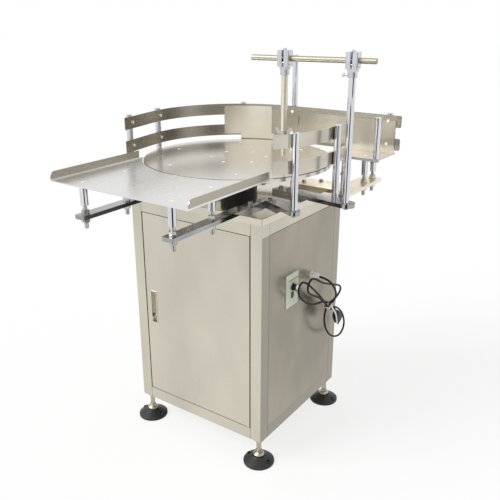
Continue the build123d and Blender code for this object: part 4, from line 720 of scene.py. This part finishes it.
def strap_tail():
    """The free end: a first stretch, drawn on from station to station, then given its thickness."""
    deselect()
    bpy.ops.mesh.primitive_plane_add(size=1)
    tail = bpy.context.object
    first, second = (Vector(place) * mm for place in tail_stations[:2])
    for corner in tail.data.vertices:
        corner.select = corner.co.y > 0
        side = math.copysign(strap_w / 2, corner.co.x)
        corner.co = (second if corner.select else first) + across_strands * side
    for edge in tail.data.edges:
        edge.select = all(tail.data.vertices[end].select for end in edge.vertices)
    tail.data.polygons[0].select = False
    bpy.ops.object.mode_set(mode="EDIT")
    for place, following in zip(tail_stations[1:], tail_stations[2:]):
        step = (Vector(following) - Vector(place)) * mm
        bpy.ops.mesh.extrude_region_move(TRANSFORM_OT_translate={"value": step})
    bpy.ops.object.mode_set(mode="OBJECT")
    wall_and_seal(tail)
    return tail


lead = mains_lead()
strap = join_pieces(
    [strap_band(), strap_head(), strap_tail()], "hank_strap", strap_plastic
)
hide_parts("cord_tie")


# Light, floor and camera

object_middle = Vector((0, 0, 0.6))
lamp_place = (-2.2, -3.0, 3.4)
lamp_power = 2.1
lamp_spread = math.radians(35)
room_level = 0.70
floor_share = 0.75
floor_side = 60
screen_distance = 1.5
# bearing in degrees, width, height of the foot over the floor, and height
dark_screens = {"low": (-52, 0.75, 0.0, 0.95), "high": (-22, 0.70, 1.0, 0.80)}
camera_place = (1.1809, -1.6349, 1.3686)
camera_down = math.radians(20.540)
camera_round = math.radians(34.804)
camera_lens = 46.11
camera_sensor = 36


def seen_share(tree, share):
    """A share of 1 where the camera, metal or glass looks straight at a surface, else 0."""
    rays = add_node(tree, "ShaderNodeLightPath")
    total = rays.outputs["Is Camera Ray"]
    for kind in ("Is Glossy Ray", "Is Transmission Ray"):
        either = add_node(tree, "ShaderNodeMath", operation="MAXIMUM")
        tree.links.new(total, either.inputs[0])
        tree.links.new(rays.outputs[kind], either.inputs[1])
        total = either.outputs["Value"]
    part = add_node(tree, "ShaderNodeMath", operation="MULTIPLY")
    part.inputs[1].default_value = share
    tree.links.new(total, part.inputs[0])
    return part.outputs["Value"]


def studio_floor():
    """A matt floor, white to the eye and in metal, that keeps the object's shadow."""
    deselect()
    bpy.ops.mesh.primitive_plane_add(size=floor_side, location=(0, 0, 0))
    floor = bpy.context.object
    floor.name = "studio_floor"
    made, tree, shader, _ = new_material("pale floor")
    shader.inputs["Base Color"].default_value = (0.9, 0.9, 0.9, 1)
    set_inputs(shader, Roughness=0.9)
    glow = add_node(tree, "ShaderNodeEmission")
    set_inputs(glow, Strength=1.0)
    blend = add_node(tree, "ShaderNodeMixShader")
    tree.links.new(seen_share(tree, floor_share), blend.inputs["Fac"])
    tree.links.new(shader.outputs["BSDF"], blend.inputs[1])
    tree.links.new(glow.outputs["Emission"], blend.inputs[2])
    tree.links.new(blend.outputs["Shader"], tree.nodes["Material Output"].inputs["Surface"])
    floor.data.materials.append(made)


def studio_world():
    """A white room: strength 1 to the eye and in metal, and a plain level as light."""
    world = bpy.data.worlds.new("studio")
    bpy.context.scene.world = world
    world.use_nodes = True
    tree = world.node_tree
    room = tree.nodes["Background"]
    room.inputs["Color"].default_value = (1, 1, 1, 1)
    strength = add_node(tree, "ShaderNodeMapRange")
    set_inputs(strength, To_Min=room_level, To_Max=1.0)
    tree.links.new(seen_share(tree, 1.0), strength.inputs["Value"])
    tree.links.new(strength.outputs["Result"], room.inputs["Strength"])


def key_lamp():
    """One soft lamp from the left front, aimed at the middle of the object."""
    data = bpy.data.lights.new("key lamp", "SUN")
    data.energy = lamp_power
    data.angle = lamp_spread
    lamp = bpy.data.objects.new("key lamp", data)
    lamp.location = lamp_place
    lamp.rotation_euler = (object_middle - Vector(lamp_place)).to_track_quat("-Z", "Y").to_euler()
    bpy.context.scene.collection.objects.link(lamp)


def dark_screen(name, bearing, width, foot, height):
    """A black screen that only metal sees, for the dark streaks in bright round posts."""
    away = math.radians(bearing)
    level = foot + height / 2
    place = (screen_distance * math.cos(away), screen_distance * math.sin(away), level)
    stood_up = (math.radians(90), 0, away + math.radians(90))
    deselect()
    bpy.ops.mesh.primitive_plane_add(size=1, location=place, rotation=stood_up)
    screen = bpy.context.object
    screen.name = name
    screen.scale = (width, height, 1)
    made, tree, shader, _ = new_material(name)
    shader.inputs["Base Color"].default_value = (0.02, 0.02, 0.02, 1)
    set_inputs(shader, Roughness=1.0)
    screen.data.materials.append(made)
    for ray in ("camera", "diffuse", "transmission", "shadow"):
        setattr(screen, "visible_" + ray, False)


def photo_camera():
    """The camera, where the photograph was taken from."""
    data = bpy.data.cameras.new("photo camera")
    data.sensor_width = camera_sensor
    data.lens = camera_lens
    camera = bpy.data.objects.new("photo camera", data)
    camera.location = camera_place
    camera.rotation_euler = (math.radians(90) - camera_down, 0, camera_round)
    bpy.context.scene.collection.objects.link(camera)
    bpy.context.scene.camera = camera


studio_floor()
studio_world()
for name, sizes in dark_screens.items():
    dark_screen(name + " dark screen", *sizes)
key_lamp()
photo_camera()

bpy.context.scene.view_settings.view_transform = "Standard"
